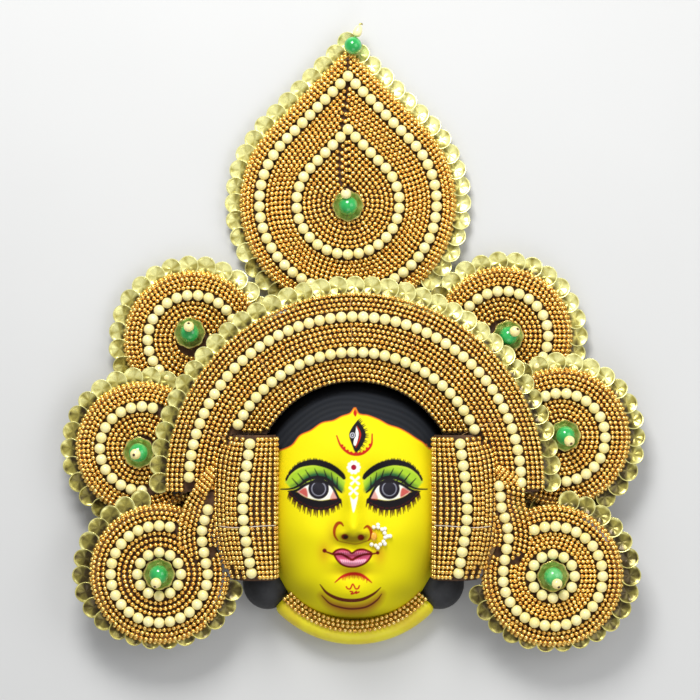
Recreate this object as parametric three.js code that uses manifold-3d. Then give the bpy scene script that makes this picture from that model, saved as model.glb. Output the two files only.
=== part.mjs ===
// Chhau dance mask of a three-eyed goddess, with its beaded headdress, lying on its back.
// Millimetres, +Z out of the face, +Y up the mask. Every place is measured from the centre of the crown arch.

import * as THREE from 'three';
import { mergeVertices } from 'three/addons/utils/BufferGeometryUtils.js';
import Module from 'manifold-3d';

const wasm = await Module();
wasm.setup();

// Layers shared by every beaded board
const GAP = 0.3;
const BOARD = 5;
const GOLD = 2.7;
const GOLD_OVERHANG = 2;
const FOIL = 1.5;
const FOIL_DISC_RADIUS = 6.3;
const FOIL_REACH = 12.4;
const FOIL_PITCH = 11;
const PEARL = 7.1;
const PEARL_HEIGHT = 4;

// Crown arch: radii about the centre, and heights over the floor
const ARCH_INNER = 64.5;
const ARCH_OUTER = 120;
const ARCH_PEARLS_INNER = 83.2;
const ARCH_PEARLS_OUTER = 105.8;
const ARCH_EDGE_HEIGHT = 25.4;
const ARCH_CROWN_HEIGHT = 34;
const ARCH_INNER_HEIGHT = 29;
const ARCH_END_Y = -6;
const ARCH_SEGMENTS = 24;

// Heights of the beaded boards over the floor
const CREST_BASE = 2;
const UPPER_BASE = 3.8;
const SIDE_BASE = 12.9;
const ROUNDEL_BASE = 22.4;

// Boards round the arch: the direction of each in degrees, how far its edge is tucked under the arch's outer
// edge, how far its pearls lie in from its own edge, and how far its jewel is off its middle
const CREST = {
  turn: 91.44, tucked: 7.64, radius: 67, point: 95.8, pearlsIn: 9.8, innerPearlsIn: 33.8, jewelOff: [0, -1.9],
};
const UPPER_LOBES = {
  left: { turn: 138.98, tucked: 23.5, radius: 42, pearlsIn: 13, jewelOff: [-1.9, 4.6] },
  right: { turn: 44.39, tucked: 28.35, radius: 42, pearlsIn: 13, jewelOff: [3.2, 0] },
};
const SIDE_LOBES = {
  left: { turn: 171.14, tucked: 21.65, radius: 40, pearlsIn: 13, jewelOff: [-2, -2.6] },
  right: { turn: 12.12, tucked: 26.8, radius: 42, pearlsIn: 13.6, jewelOff: [2.6, 1.3] },
};
const ROUNDELS = {
  left: { turn: 205.14, tucked: 23.8, radius: 42, pearlsIn: 11, innerPearlsIn: 28.1, side: -1 },
  right: { turn: -25.39, tucked: 22.7, radius: 42.6, pearlsIn: 11, innerPearlsIn: 28.7, side: 1 },
};
const ROUNDEL_FOIL_REACH = { out: 13.5, down: 6 };

// The outer string of a roundel is open toward the ear, where the string of the tail joins it (degrees)
const STRING_OPENING = { from: 10, to: 66 };

// Tail of each roundel: distance out from the ear band, distance up, and height over the roundel
const TAIL_PATH = [
  [4.2, -5, 5],
  [4.8, -15, 4],
  [7.6, -24, 2],
  [9.6, -33, 0],
  [8.6, -40, 0],
  [7.1, -50, 0],
];
const TAIL_WIDTH = 15;
const TAIL_THICKNESS = 7;
const TAIL_PEARLS_TOP = -11;
const TAIL_FOIL_GAP = 17.6;

// Ear bands beside the face
const EAR_WIDTH = 38.5;
const EAR_INNER_X = 49.9;
const EAR_TOP = 30.4;
const EAR_BOTTOM = -62.5;
const EAR_HEIGHT = 40;
const EAR_LEAN = 6;
const EAR_RISE = 12;
const EAR_FALL = 9;
const EAR_THICKNESS = 5;
const EAR_SEGMENTS = 6;
const EAR_STATIONS = [0, 0.08, 0.22, 0.5, 0.72, 0.88, 1];
const EAR_CORNER = { top: 10.5, bottom: 9.5 };
const EAR_PEARLS = { top: 16.2, middle: 21.1, bottom: 15.4, fromEnd: 1.4 };

// Face shell
const FACE_RIM_CLEARANCE = 0.7;
const FACE_RIM = ARCH_INNER - FACE_RIM_CLEARANCE;
const FACE_DOWN = 90;
const FACE_DEPTH = 50;
const FACE_CENTRE = { x: -1, y: -28 };
const FACE_WALL = 4.5;
const FACE_FRONT_EXTRA = 2;
const FACE_SPOKES = 34;
const FACE_RINGS = [0.08, 0.16, 0.24, 0.32, 0.41, 0.5, 0.6, 0.72, 0.83, 0.92, 0.98, 1];
const NOSE = { x: -1, y: -30, wide: 7.5, tall: 8.5, height: 13 };
const FEATURES = {
  forehead: { x: 0, y: 24, wide: 30, tall: 18, height: 3.5 },
  noseTip: NOSE,
  noseBridge: { x: -1, y: -13, wide: 6, tall: 13, height: 6.5 },
  leftNostril: { x: -9, y: -34.5, wide: 4.2, tall: 4, height: 4.5 },
  rightNostril: { x: 7, y: -34.5, wide: 4.2, tall: 4, height: 4.5 },
  leftCheek: { x: -27, y: -33, wide: 13, tall: 12, height: 3 },
  rightCheek: { x: 27, y: -33, wide: 13, tall: 12, height: 3 },
  leftSocket: { x: -14, y: 2, wide: 8, tall: 7, height: -3.5 },
  rightSocket: { x: 14, y: 2, wide: 8, tall: 7, height: -3.5 },
  leftEye: { x: -23.2, y: -6, wide: 11, tall: 7, height: 2.6 },
  rightEye: { x: 22, y: -6, wide: 11, tall: 7, height: 2.6 },
  upperLip: { x: -1.6, y: -45.5, wide: 10.5, tall: 2.8, height: 5 },
  lowerLip: { x: -1.6, y: -51.9, wide: 9, tall: 3, height: 5.5 },
  underLip: { x: -1.6, y: -59.5, wide: 12, tall: 4, height: -2.5 },
  chin: { x: -1.6, y: -74, wide: 13, tall: 9, height: 5.5 },
};
const NOSE_HOLLOW = { x: NOSE.x, y: -27, wide: 7, tall: 11, height: NOSE.height / 2 };
const HAIR_LUMPS = [[-56.5, -66], [54.5, -66]];
const HAIR_LUMP = { wide: 16, tall: 17, deep: 16 };
const CAVITY_SPOKES = 18;
const CAVITY_RINGS = [0.3, 0.65, 0.9, 1];

// Neck roll and necklace under the chin
const NECK_RADIUS = 62;
const NECK_CENTRE_Y = -35.5;
const NECK_ROLL = 8;
const NECK_ROLL_HEIGHT = 10;
const NECK_HALF_ANGLE = 50;
const NECKLACE_RADIUS = 57.6;
const NECKLACE_TOP = 22;
const NECKLACE_WIDTH = 7.5;
const NECKLACE_THICKNESS = 3;

// Beads at the middle of the boards, and at the tip of the crest
const JEWEL_FOIL = 9.8;
const JEWEL_BEAD = 6;
const JEWEL_TOP_BEAD = 3.6;
const FINIAL = { fromPoint: [3.2, 5.5], bead: 5.7, toPear: [3.2, 9.6], pear: 2.9, toWireEnd: [5.9, 13.3], wire: 0.8 };
const NOSE_RING = { x: 13.4, y: -35.4, radius: 5.9, wire: 1, beads: 12 };

// Cutters reach past the whole mask
const BELOW = -1;
const ABOVE = 90;
const BEYOND = 300;

const papier = new THREE.MeshStandardMaterial({ color: 0xf0eb14, roughness: 0.55, metalness: 0 });
const cloth = new THREE.MeshStandardMaterial({ color: 0x5a4038, roughness: 0.9, metalness: 0 });
const gold = new THREE.MeshStandardMaterial({ color: 0xc89646, roughness: 0.35, metalness: 0.8 });
const pearl = new THREE.MeshStandardMaterial({ color: 0xf5fac8, roughness: 0.3, metalness: 0 });
const foil = new THREE.MeshStandardMaterial({ color: 0xc8c850, roughness: 0.3, metalness: 0.9 });
const green = new THREE.MeshStandardMaterial({ color: 0x32b446, roughness: 0.25, metalness: 0 });

const mask = new THREE.Group();

// Solids

function solidOf(geometry) {
  const bare = geometry.clone();
  bare.deleteAttribute('normal');
  bare.deleteAttribute('uv');
  const merged = mergeVertices(bare, 1e-4);
  const vertProperties = new Float32Array(merged.attributes.position.array);
  const triVerts = new Uint32Array(merged.index.array);
  return new wasm.Manifold(new wasm.Mesh({ numProp: 3, vertProperties, triVerts }));
}

function geometryOf(solid) {
  const mesh = solid.getMesh();
  const geometry = new THREE.BufferGeometry();
  geometry.setAttribute('position', new THREE.BufferAttribute(mesh.vertProperties, 3));
  geometry.setIndex(new THREE.BufferAttribute(mesh.triVerts, 1));
  geometry.computeVertexNormals();
  return geometry;
}

function geometryFrom(points, faces) {
  const geometry = new THREE.BufferGeometry();
  const positions = points.flatMap((point) => [point.x, point.y, point.z]);
  geometry.setAttribute('position', new THREE.Float32BufferAttribute(positions, 3));
  geometry.setIndex(faces.flat());
  return geometry;
}

// A closed body from rings of equal count, each ring running clockwise seen from the far end
function loft(rings, closed = false) {
  const count = rings[0].length;
  const faces = [];
  const steps = closed ? rings.length : rings.length - 1;
  for (let i = 0; i < steps; i += 1) {
    const a = i * count;
    const b = ((i + 1) % rings.length) * count;
    for (let j = 0; j < count; j += 1) {
      const k = (j + 1) % count;
      faces.push([a + j, b + k, a + k], [a + j, b + j, b + k]);
    }
  }
  if (!closed) {
    const last = (rings.length - 1) * count;
    capFaces(rings[0]).forEach(([p, q, r]) => faces.push([p, q, r]));
    capFaces(rings[rings.length - 1]).forEach(([p, q, r]) => faces.push([last + r, last + q, last + p]));
  }
  return geometryFrom(rings.flat(), faces);
}

// Triangles over one ring, which may be hollow on one side
function capFaces(ring) {
  const normal = new THREE.Vector3();
  ring.forEach((point, j) => {
    normal.add(new THREE.Vector3().crossVectors(point, ring[(j + 1) % ring.length]));
  });
  normal.normalize();
  const across = new THREE.Vector3(1, 0, 0);
  if (Math.abs(normal.x) > 0.9) {
    across.set(0, 1, 0);
  }
  across.addScaledVector(normal, -across.dot(normal)).normalize();
  const up = new THREE.Vector3().crossVectors(normal, across);
  const flat = ring.map((point) => new THREE.Vector2(point.dot(across), point.dot(up)));
  return THREE.ShapeUtils.triangulateShape(flat, []);
}

function slab(outline, bottom, top, hole = null) {
  const shape = new THREE.Shape(outline);
  if (hole) {
    shape.holes.push(new THREE.Path(hole));
  }
  const geometry = new THREE.ExtrudeGeometry(shape, { depth: top - bottom, bevelEnabled: false });
  return geometry.translate(0, 0, bottom);
}

function cylinder(radius, bottom, top, x = 0, y = 0, segments = 64) {
  return slab(circle(radius, segments).map((p) => new THREE.Vector2(p.x + x, p.y + y)), bottom, top);
}

function block(x0, x1, y0, y1, z0, z1) {
  const geometry = new THREE.BoxGeometry(x1 - x0, y1 - y0, z1 - z0);
  return geometry.translate((x0 + x1) / 2, (y0 + y1) / 2, (z0 + z1) / 2);
}

function addMesh(name, geometry, material) {
  const mesh = new THREE.Mesh(geometry, material);
  mesh.name = name;
  mask.add(mesh);
}

// Outlines

function circle(radius, count) {
  const points = [];
  for (let i = 0; i < count; i += 1) {
    const angle = (i / count) * 2 * Math.PI;
    points.push(new THREE.Vector2(Math.cos(angle), Math.sin(angle)).multiplyScalar(radius));
  }
  return points;
}

// A circle with straight sides running up to a point
function drop(radius, count) {
  const pointReach = CREST.point / CREST.radius;
  const tangent = Math.acos(1 / pointReach);
  const start = Math.PI / 2 + tangent;
  const sweep = 2 * Math.PI - 2 * tangent;
  const points = [new THREE.Vector2(0, radius * pointReach)];
  for (let i = 0; i <= count; i += 1) {
    const angle = start + (i / count) * sweep;
    points.push(new THREE.Vector2(Math.cos(angle), Math.sin(angle)).multiplyScalar(radius));
  }
  return points;
}

function moved(outline, x, y) {
  return outline.map((point) => new THREE.Vector2(point.x + x, point.y + y));
}

// Evenly spaced places along a line of points, with the direction of travel at each
function spaced(points, pitch, closed) {
  const path = new THREE.CurvePath();
  const line = closed ? [...points, points[0]] : points;
  for (let i = 0; i + 1 < line.length; i += 1) {
    path.add(new THREE.LineCurve(line[i], line[i + 1]));
  }
  const count = Math.round(path.getLength() / pitch);
  const places = [];
  for (let i = 0; i < count; i += 1) {
    const share = closed ? i / count : (i + 0.5) / count;
    const place = path.getPointAt(share);
    const ahead = path.getPointAt(Math.min(share + 0.002, 1));
    const behind = path.getPointAt(Math.max(share - 0.002, 0));
    places.push({ place, along: ahead.clone().sub(behind).normalize() });
  }
  return places;
}

// Edge of a row of overlapping foil discs laid around an outline
function scallops(outline) {
  const points = [];
  spaced(outline, FOIL_PITCH, true).forEach(({ place, along }) => {
    const outward = Math.atan2(-along.x, along.y);
    [-0.9, 0, 0.9].forEach((turn) => {
      const angle = outward + turn;
      const rim = new THREE.Vector2(Math.cos(angle), Math.sin(angle)).multiplyScalar(FOIL_DISC_RADIUS);
      points.push(rim.add(place));
    });
  });
  return points;
}

// A string of touching beads whose lower half is sunk: a three-sided body, wide at each bead
function beadString(places, heights, closed, width = PEARL / 2) {
  const rings = [];
  const ringAt = (place, along, z, size) => {
    const side = new THREE.Vector2(along.y, -along.x).multiplyScalar(width * size);
    rings.push([
      new THREE.Vector3(place.x + side.x, place.y + side.y, z),
      new THREE.Vector3(place.x, place.y, z + PEARL_HEIGHT * size),
      new THREE.Vector3(place.x - side.x, place.y - side.y, z),
    ]);
  };
  places.forEach(({ place, along }, i) => {
    const z = heights(place);
    const next = places[(i + 1) % places.length];
    if (!closed && i === 0) {
      ringAt(place.clone().addScaledVector(along, -PEARL / 2), along, z, 0.4);
    }
    ringAt(place, along, z, 1);
    if (closed || i < places.length - 1) {
      const middle = place.clone().add(next.place).multiplyScalar(0.5);
      const heading = along.clone().add(next.along).normalize();
      ringAt(middle, heading, (z + heights(next.place)) / 2, 0.4);
    } else {
      ringAt(place.clone().addScaledVector(along, PEARL / 2), along, z, 0.4);
    }
  });
  return loft(rings, closed);
}

function nearArch(place, reach) {
  return place.y > ARCH_END_Y - PEARL && place.length() < ARCH_OUTER + reach + PEARL / 2 + GAP;
}

// Longest run of places round a closed line that are clear
function clearRun(places, isClear) {
  const clear = places.map(({ place }) => isClear(place));
  const start = clear.findIndex((free, i) => free && !clear[(i + clear.length - 1) % clear.length]);
  if (start < 0) {
    return { places, closed: true };
  }
  const run = [];
  for (let i = 0; clear[(start + i) % clear.length] && i < clear.length; i += 1) {
    run.push(places[(start + i) % clear.length]);
  }
  return { places: run, closed: false };
}

// Crown arch

const ARCH_MIDDLE = (ARCH_INNER + ARCH_OUTER) / 2;

function archTop(radius) {
  const inward = radius < ARCH_MIDDLE;
  const edge = inward ? ARCH_INNER : ARCH_OUTER;
  const edgeHeight = inward ? ARCH_INNER_HEIGHT : ARCH_EDGE_HEIGHT;
  const share = (radius - ARCH_MIDDLE) / (edge - ARCH_MIDDLE);
  return ARCH_CROWN_HEIGHT - (ARCH_CROWN_HEIGHT - edgeHeight) * share ** 2;
}

// A profile of radius and height carried round the arch, a little past both ends
function archSweep(profile) {
  const rings = [];
  for (let i = 0; i <= ARCH_SEGMENTS; i += 1) {
    const angle = THREE.MathUtils.degToRad(-8 + (196 * i) / ARCH_SEGMENTS);
    rings.push(profile.map(([r, z]) => new THREE.Vector3(Math.cos(angle) * r, Math.sin(angle) * r, z)));
  }
  return solidOf(loft(rings));
}

const earClear = EAR_INNER_X + EAR_WIDTH + GAP;
const belowArch = solidOf(block(-BEYOND, BEYOND, -BEYOND, ARCH_END_Y, BELOW, ABOVE));

// Width of an ear band, drawn in at its outer corners
function earWidth(down) {
  const top = EAR_CORNER.top * Math.max(0, 1 - 2 * down) ** 5.6;
  const bottom = EAR_CORNER.bottom * Math.max(0, 2 * down - 1) ** 2;
  return EAR_WIDTH - top - bottom;
}

// The ends of the arch stop at the ear bands and follow their outline
const earCorner = EAR_STATIONS.filter((down) => down <= 0.5).map((down) => {
  const y = EAR_TOP + GAP - down * (EAR_TOP - EAR_BOTTOM);
  return new THREE.Vector2(EAR_INNER_X + earWidth(down) + GAP, y);
});
const earOutline = [
  new THREE.Vector2(-earClear, -BEYOND),
  new THREE.Vector2(earClear, -BEYOND),
  ...[...earCorner].reverse(),
  ...earCorner.map((point) => new THREE.Vector2(-point.x, point.y)),
];
const aboveEars = solidOf(slab(earOutline, BELOW, ABOVE));
const archSpace = solidOf(cylinder(ARCH_OUTER - GOLD_OVERHANG + GAP, BELOW, ABOVE));

const archRadii = [0, 0.18, 0.5, 0.78, 1].map((share) => ARCH_INNER + share * (ARCH_OUTER - ARCH_INNER));
const boardRadii = [...archRadii.slice(0, -1), ARCH_OUTER - GOLD_OVERHANG];
const archBoard = [[ARCH_OUTER - GOLD_OVERHANG, 0], ...boardRadii.map((r) => [r, archTop(r)]).reverse(), [ARCH_INNER, 0]];
const archGold = [
  ...archRadii.map((r) => [r, archTop(r) + GAP]),
  ...archRadii.map((r) => [r, archTop(r) + GAP + GOLD]).reverse(),
];
const cutArch = (solid) => geometryOf(solid.subtract(belowArch).subtract(aboveEars));
addMesh('crown_arch_board', cutArch(archSweep(archBoard)), cloth);
addMesh('crown_arch_gold_beads', cutArch(archSweep(archGold)), gold);

function archString(radius, lowest) {
  const edge = Math.asin(lowest / radius);
  const line = [];
  for (let i = 0; i <= 60; i += 1) {
    const angle = edge + (i / 60) * (Math.PI - 2 * edge);
    line.push(new THREE.Vector2(Math.cos(angle), Math.sin(angle)).multiplyScalar(radius));
  }
  const highest = Math.max(archTop(radius - PEARL / 2), archTop(radius + PEARL / 2));
  const height = highest + 2 * GAP + GOLD;
  return beadString(spaced(line, PEARL, false), () => height, false);
}

addMesh('crown_arch_outer_pearls', archString(ARCH_PEARLS_OUTER, ARCH_END_Y), pearl);
addMesh('crown_arch_inner_pearls', archString(ARCH_PEARLS_INNER, EAR_TOP + 4 * GAP), pearl);

const archFoilTop = ARCH_EDGE_HEIGHT - 0.1;
const archFoilRing = slab(
  scallops(circle(ARCH_OUTER + FOIL_REACH - FOIL_DISC_RADIUS - 1.5, 96)),
  archFoilTop - FOIL,
  archFoilTop,
  circle((ARCH_OUTER - GOLD_OVERHANG + GAP) / Math.cos(Math.PI / 40), 40),
);
addMesh('crown_arch_foil_discs', geometryOf(solidOf(archFoilRing).subtract(belowArch)), foil);

// Beaded boards: crest, lobes and roundels

function jewel(x, y, z) {
  const disc = solidOf(cylinder(JEWEL_FOIL, z, z + 1.2, x, y, 8));
  const bead = new THREE.SphereGeometry(JEWEL_BEAD, 7, 4).translate(x, y, z + JEWEL_BEAD);
  const top = new THREE.SphereGeometry(JEWEL_TOP_BEAD, 5, 3);
  top.translate(x, y, z + 2 * JEWEL_BEAD + JEWEL_TOP_BEAD - 1.5);
  return geometryOf(disc.add(solidOf(bead)).add(solidOf(top)));
}

// A board's middle, from its direction and how far it is tucked under the arch
function placed(board) {
  const turn = THREE.MathUtils.degToRad(board.turn);
  const distance = ARCH_OUTER + board.radius - board.tucked;
  return { ...board, x: distance * Math.cos(turn), y: distance * Math.sin(turn) };
}

function beadedBoard(name, spot, base, outline, count, cutters = [archSpace], extra = {}) {
  const under = extra.under ?? base;
  const cut = (geometry) => geometryOf(cutters.reduce((solid, cutter) => solid.subtract(cutter), solidOf(geometry)));
  const at = (size, segments = count) => moved(outline(size, segments), spot.x, spot.y);
  const goldBase = base + BOARD + GAP;
  const goldTop = goldBase + GOLD;
  const foilTop = goldBase - 0.4;
  addMesh(`${name}_board`, cut(slab(at(spot.radius - GOLD_OVERHANG), under, base + BOARD)), cloth);
  addMesh(`${name}_gold_beads`, cut(slab(at(spot.radius), goldBase, goldTop)), gold);
  const rim = extra.foilOutline ?? at(spot.radius + FOIL_REACH - FOIL_DISC_RADIUS, 72);
  const foilRing = slab(scallops(rim), foilTop - FOIL, foilTop, at(spot.radius - GOLD_OVERHANG + GAP, count));
  const clearOf = extra.foilClearOf ? solidOf(extra.foilClearOf) : archSpace;
  addMesh(`${name}_foil_discs`, geometryOf(solidOf(cut(foilRing)).subtract(clearOf)), foil);
  const strings = { outer: spot.pearlsIn, inner: spot.innerPearlsIn };
  const runs = {};
  Object.entries(strings).forEach(([which, inset]) => {
    if (!inset) {
      return;
    }
    const open = which === 'outer' && extra.openAt ? extra.openAt : () => false;
    const isClear = (place) => !nearArch(place, extra.pearlsOffArch ?? 0) && !open(place);
    runs[which] = clearRun(spaced(at(spot.radius - inset, 72), PEARL, true), isClear);
    const label = spot.innerPearlsIn ? `${which}_pearls` : 'pearls';
    addMesh(`${name}_${label}`, beadString(runs[which].places, () => goldTop + GAP, runs[which].closed), pearl);
  });
  const [offX, offY] = spot.jewelOff ?? [0, 0];
  addMesh(`${name}_jewel`, jewel(spot.x + offX, spot.y + offY, goldTop + GAP), green);
  return runs;
}

const crest = placed(CREST);
beadedBoard('crest', crest, CREST_BASE, drop, 26, [archSpace], { under: 0 });
Object.entries(UPPER_LOBES).forEach(([side, board]) => {
  beadedBoard(`upper_lobe_${side}`, placed(board), UPPER_BASE, circle, 20, [archSpace], { under: 0 });
});
Object.entries(SIDE_LOBES).forEach(([side, board]) => {
  const extra = { pearlsOffArch: FOIL_REACH };
  beadedBoard(`side_lobe_${side}`, placed(board), SIDE_BASE, circle, 20, [archSpace], extra);
});

// Roundels, each with a tail that sweeps up to the lower end of the arch

const archEnds = solidOf(slab(circle(ARCH_OUTER + FOIL_REACH + GAP, 64), BELOW, ABOVE)).subtract(belowArch);
const earSide = EAR_STATIONS.map((down) => {
  const y = EAR_TOP + GAP - down * (EAR_TOP - EAR_BOTTOM + 2 * GAP);
  return new THREE.Vector2(EAR_INNER_X + (down < 0.5 ? EAR_WIDTH : earWidth(down)) + GAP, y);
});
const earSpace = solidOf(slab([
  ...earSide.map((point) => new THREE.Vector2(-point.x, point.y)),
  ...[...earSide].reverse(),
], BELOW, ABOVE));
const ROUNDEL_TOP = ROUNDEL_BASE + BOARD + GAP + GOLD;

function roundelFoilOutline(spot, count) {
  return circle(1, count).map((point) => {
    const sideways = Math.max(0, point.x * spot.side);
    const down = Math.max(0, -point.y);
    const reachHere = ROUNDEL_FOIL_REACH.out * sideways ** 2 + ROUNDEL_FOIL_REACH.down * down ** 2;
    const rest = FOIL_REACH * (1 - sideways ** 2 - down ** 2);
    const radius = spot.radius + reachHere + Math.max(0, rest) - FOIL_DISC_RADIUS;
    return point.multiplyScalar(radius).add(new THREE.Vector2(spot.x, spot.y));
  });
}

// Strip along a path whose points give its top, with the band's width and thickness
function ribbon(points, width, thickness) {
  const rings = points.map((point, i) => {
    const ahead = points[Math.min(i + 1, points.length - 1)];
    const behind = points[Math.max(i - 1, 0)];
    const along = new THREE.Vector2(ahead.x - behind.x, ahead.y - behind.y).normalize();
    const across = new THREE.Vector2(along.y, -along.x).multiplyScalar(width / 2);
    const corner = (sign, z) => new THREE.Vector3(point.x + sign * across.x, point.y + sign * across.y, z);
    return [
      corner(1, point.z - thickness),
      corner(1, point.z),
      corner(-1, point.z),
      corner(-1, point.z - thickness),
    ];
  });
  return loft(rings);
}

Object.entries(ROUNDELS).forEach(([side, board]) => {
  const name = `roundel_${side}`;
  const spot = placed(board);
  const foilOutline = roundelFoilOutline(spot, 72);
  const earOuter = EAR_INNER_X + EAR_WIDTH;
  const foilSide = earOuter + TAIL_FOIL_GAP;
  const foilClearOf = block(-foilSide, foilSide, EAR_BOTTOM - GAP, BEYOND, BELOW, ABOVE);
  const openAt = (place) => {
    const turn = THREE.MathUtils.radToDeg(Math.atan2(place.y - spot.y, (spot.x - place.x) * spot.side));
    return turn > STRING_OPENING.from && turn < STRING_OPENING.to;
  };
  const extra = { foilOutline, foilClearOf, openAt };
  const strings = beadedBoard(name, spot, ROUNDEL_BASE, circle, 20, [archEnds, earSpace], extra);
  const points = TAIL_PATH.map(([x, y, rise]) => new THREE.Vector3(spot.side * (earOuter + x), y, ROUNDEL_TOP + rise));
  const curve = new THREE.CatmullRomCurve3(points);
  const disc = solidOf(cylinder(spot.radius + GAP, BELOW, ABOVE, spot.x, spot.y, 48));
  const band = solidOf(ribbon(curve.getPoints(8), TAIL_WIDTH, TAIL_THICKNESS));
  addMesh(`${name}_tail`, geometryOf(band.subtract(disc).subtract(archEnds).subtract(earSpace)), gold);
  const ring = strings.outer.places.map(({ place }) => place);
  const line = curve.getPoints(60).filter((point) => {
    const flat = new THREE.Vector2(point.x, point.y);
    return point.y < TAIL_PEARLS_TOP && ring.every((place) => place.distanceTo(flat) > PEARL);
  });
  const height = (place) => {
    const offset = (point) => Math.abs(point.y - place.y);
    const nearest = line.reduce((best, point) => (offset(point) < offset(best) ? point : best));
    return nearest.z + 3 * GAP;
  };
  const flat = line.map((point) => new THREE.Vector2(point.x, point.y));
  addMesh(`${name}_tail_pearls`, beadString(spaced(flat, PEARL, false), height, false), pearl);
});

// Ear bands: curved across, and falling away at the lower end

function earBand(side, low, high, inset) {
  const rings = [];
  EAR_STATIONS.forEach((down) => {
    const y = EAR_TOP - down * (EAR_TOP - EAR_BOTTOM);
    const width = earWidth(down) - 2 * inset;
    const fall = EAR_FALL * down ** 3;
    const ring = [];
    const layer = (offset, order) => {
      for (let j = 0; j <= EAR_SEGMENTS; j += 1) {
        const across = (order > 0 ? j : EAR_SEGMENTS - j) / EAR_SEGMENTS;
        const x = EAR_INNER_X + inset + across * width;
        const z = EAR_HEIGHT - EAR_LEAN * across + EAR_RISE * (1 - (2 * across - 1) ** 2) ** 0.7 - fall;
        ring.push(new THREE.Vector3(side * x, y, z + offset));
      }
    };
    layer(low, 1);
    layer(high, -1);
    rings.push(side < 0 ? ring : ring.reverse());
  });
  return loft(rings);
}

function earTop(x, y) {
  const down = (EAR_TOP - y) / (EAR_TOP - EAR_BOTTOM);
  const across = THREE.MathUtils.clamp((x - EAR_INNER_X) / earWidth(down), 0, 1);
  return EAR_HEIGHT - EAR_LEAN * across + EAR_RISE * (1 - (2 * across - 1) ** 2) ** 0.7 - EAR_FALL * down ** 3;
}

// Face shell

function bump(x, y, { x: cx, y: cy, wide, tall, height }) {
  return height * Math.exp(-(((x - cx) / wide) ** 2) - ((y - cy) / tall) ** 2);
}

// Features that stand out of the plain oval of the face
function features(x, y) {
  return Object.values(FEATURES).reduce((height, feature) => height + bump(x, y, feature), 0);
}

function onFaceOutline(x, y, grow) {
  const rim = FACE_RIM + grow;
  if (y >= 0) {
    return Math.hypot(x, y) <= rim;
  }
  return (Math.abs(x) / rim) ** 2.4 + (-y / (FACE_DOWN + grow)) ** 2.4 <= 1;
}

// Distance from the middle of the face to its rim, in one direction
function rimDistance(angle, grow) {
  let near = 0;
  let far = 200;
  for (let i = 0; i < 30; i += 1) {
    const middle = (near + far) / 2;
    const x = FACE_CENTRE.x + Math.cos(angle) * middle;
    const y = FACE_CENTRE.y + Math.sin(angle) * middle;
    if (onFaceOutline(x, y, grow)) {
      near = middle;
    } else {
      far = middle;
    }
  }
  return near;
}

const ovalHeight = (share, depth) => depth * (1 - share ** 3) ** (1 / 2.2);

function dome(spokes, shares, grow, depth, detail, floor) {
  const points = [];
  const faces = [];
  const { x: cx, y: cy } = FACE_CENTRE;
  points.push(new THREE.Vector3(cx, cy, depth + detail(cx, cy)));
  shares.forEach((share, i) => {
    for (let j = 0; j < spokes; j += 1) {
      const angle = (j / spokes) * 2 * Math.PI;
      const radius = share * rimDistance(angle, grow);
      const x = cx + Math.cos(angle) * radius;
      const y = cy + Math.sin(angle) * radius;
      const z = i === shares.length - 1 ? floor : ovalHeight(share, depth) + detail(x, y) * (1 - share ** 6);
      points.push(new THREE.Vector3(x, y, z));
    }
  });
  for (let j = 0; j < spokes; j += 1) {
    const k = (j + 1) % spokes;
    faces.push([0, 1 + j, 1 + k]);
    for (let i = 0; i + 1 < shares.length; i += 1) {
      const a = 1 + i * spokes;
      const b = a + spokes;
      faces.push([a + j, b + j, b + k], [a + j, b + k, a + k]);
    }
  }
  const lastRing = 1 + (shares.length - 1) * spokes;
  points.push(new THREE.Vector3(cx, cy, floor));
  for (let j = 0; j < spokes; j += 1) {
    faces.push([points.length - 1, lastRing + ((j + 1) % spokes), lastRing + j]);
  }
  return solidOf(geometryFrom(points, faces));
}

function neckArc(radius, z, count) {
  const points = [];
  for (let i = 0; i <= count; i += 1) {
    const angle = THREE.MathUtils.degToRad(-90 + NECK_HALF_ANGLE * ((2 * i) / count - 1));
    points.push(new THREE.Vector3(radius * Math.cos(angle), NECK_CENTRE_Y + radius * Math.sin(angle), z));
  }
  return points;
}

const noseHollow = (x, y) => bump(x, y, NOSE_HOLLOW);
const face = dome(FACE_SPOKES, FACE_RINGS, 0, FACE_DEPTH, features, 0);
const cavityDepth = FACE_DEPTH - FACE_WALL - FACE_FRONT_EXTRA;
const hollow = dome(CAVITY_SPOKES, CAVITY_RINGS, -FACE_WALL, cavityDepth, noseHollow, BELOW);

const roll = new THREE.Shape(circle(NECK_ROLL, 7).map((point) => new THREE.Vector2(-point.y, point.x)));
const rollPath = new THREE.CatmullRomCurve3(neckArc(NECK_RADIUS, NECK_ROLL_HEIGHT, 16));
const neckRoll = solidOf(new THREE.ExtrudeGeometry(roll, { steps: 12, bevelEnabled: false, extrudePath: rollPath }));
const aboveFloor = solidOf(block(-BEYOND, BEYOND, -BEYOND, BEYOND, 0, ABOVE));
const hair = HAIR_LUMPS.map(([x, y]) => {
  const lump = new THREE.SphereGeometry(1, 8, 6);
  lump.scale(HAIR_LUMP.wide, HAIR_LUMP.tall, HAIR_LUMP.deep).translate(x, y, HAIR_LUMP.deep * 0.4);
  return solidOf(lump);
});
const shell = hair.reduce((solid, lump) => solid.add(lump), face.add(neckRoll)).intersect(aboveFloor).subtract(hollow);
addMesh('face_mask', geometryOf(shell), papier);

const faceSpace = dome(FACE_SPOKES, FACE_RINGS, 0.8, FACE_DEPTH + 1, features, BELOW);
const hairSpace = hair.reduce((solid, lump) => solid.add(lump.translate([0, 0, 2 * GAP])));
const necklace = solidOf(ribbon(neckArc(NECKLACE_RADIUS, NECKLACE_TOP, 12), NECKLACE_WIDTH, NECKLACE_THICKNESS));
addMesh('necklace_gold_beads', geometryOf(necklace.subtract(faceSpace)), gold);

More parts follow.
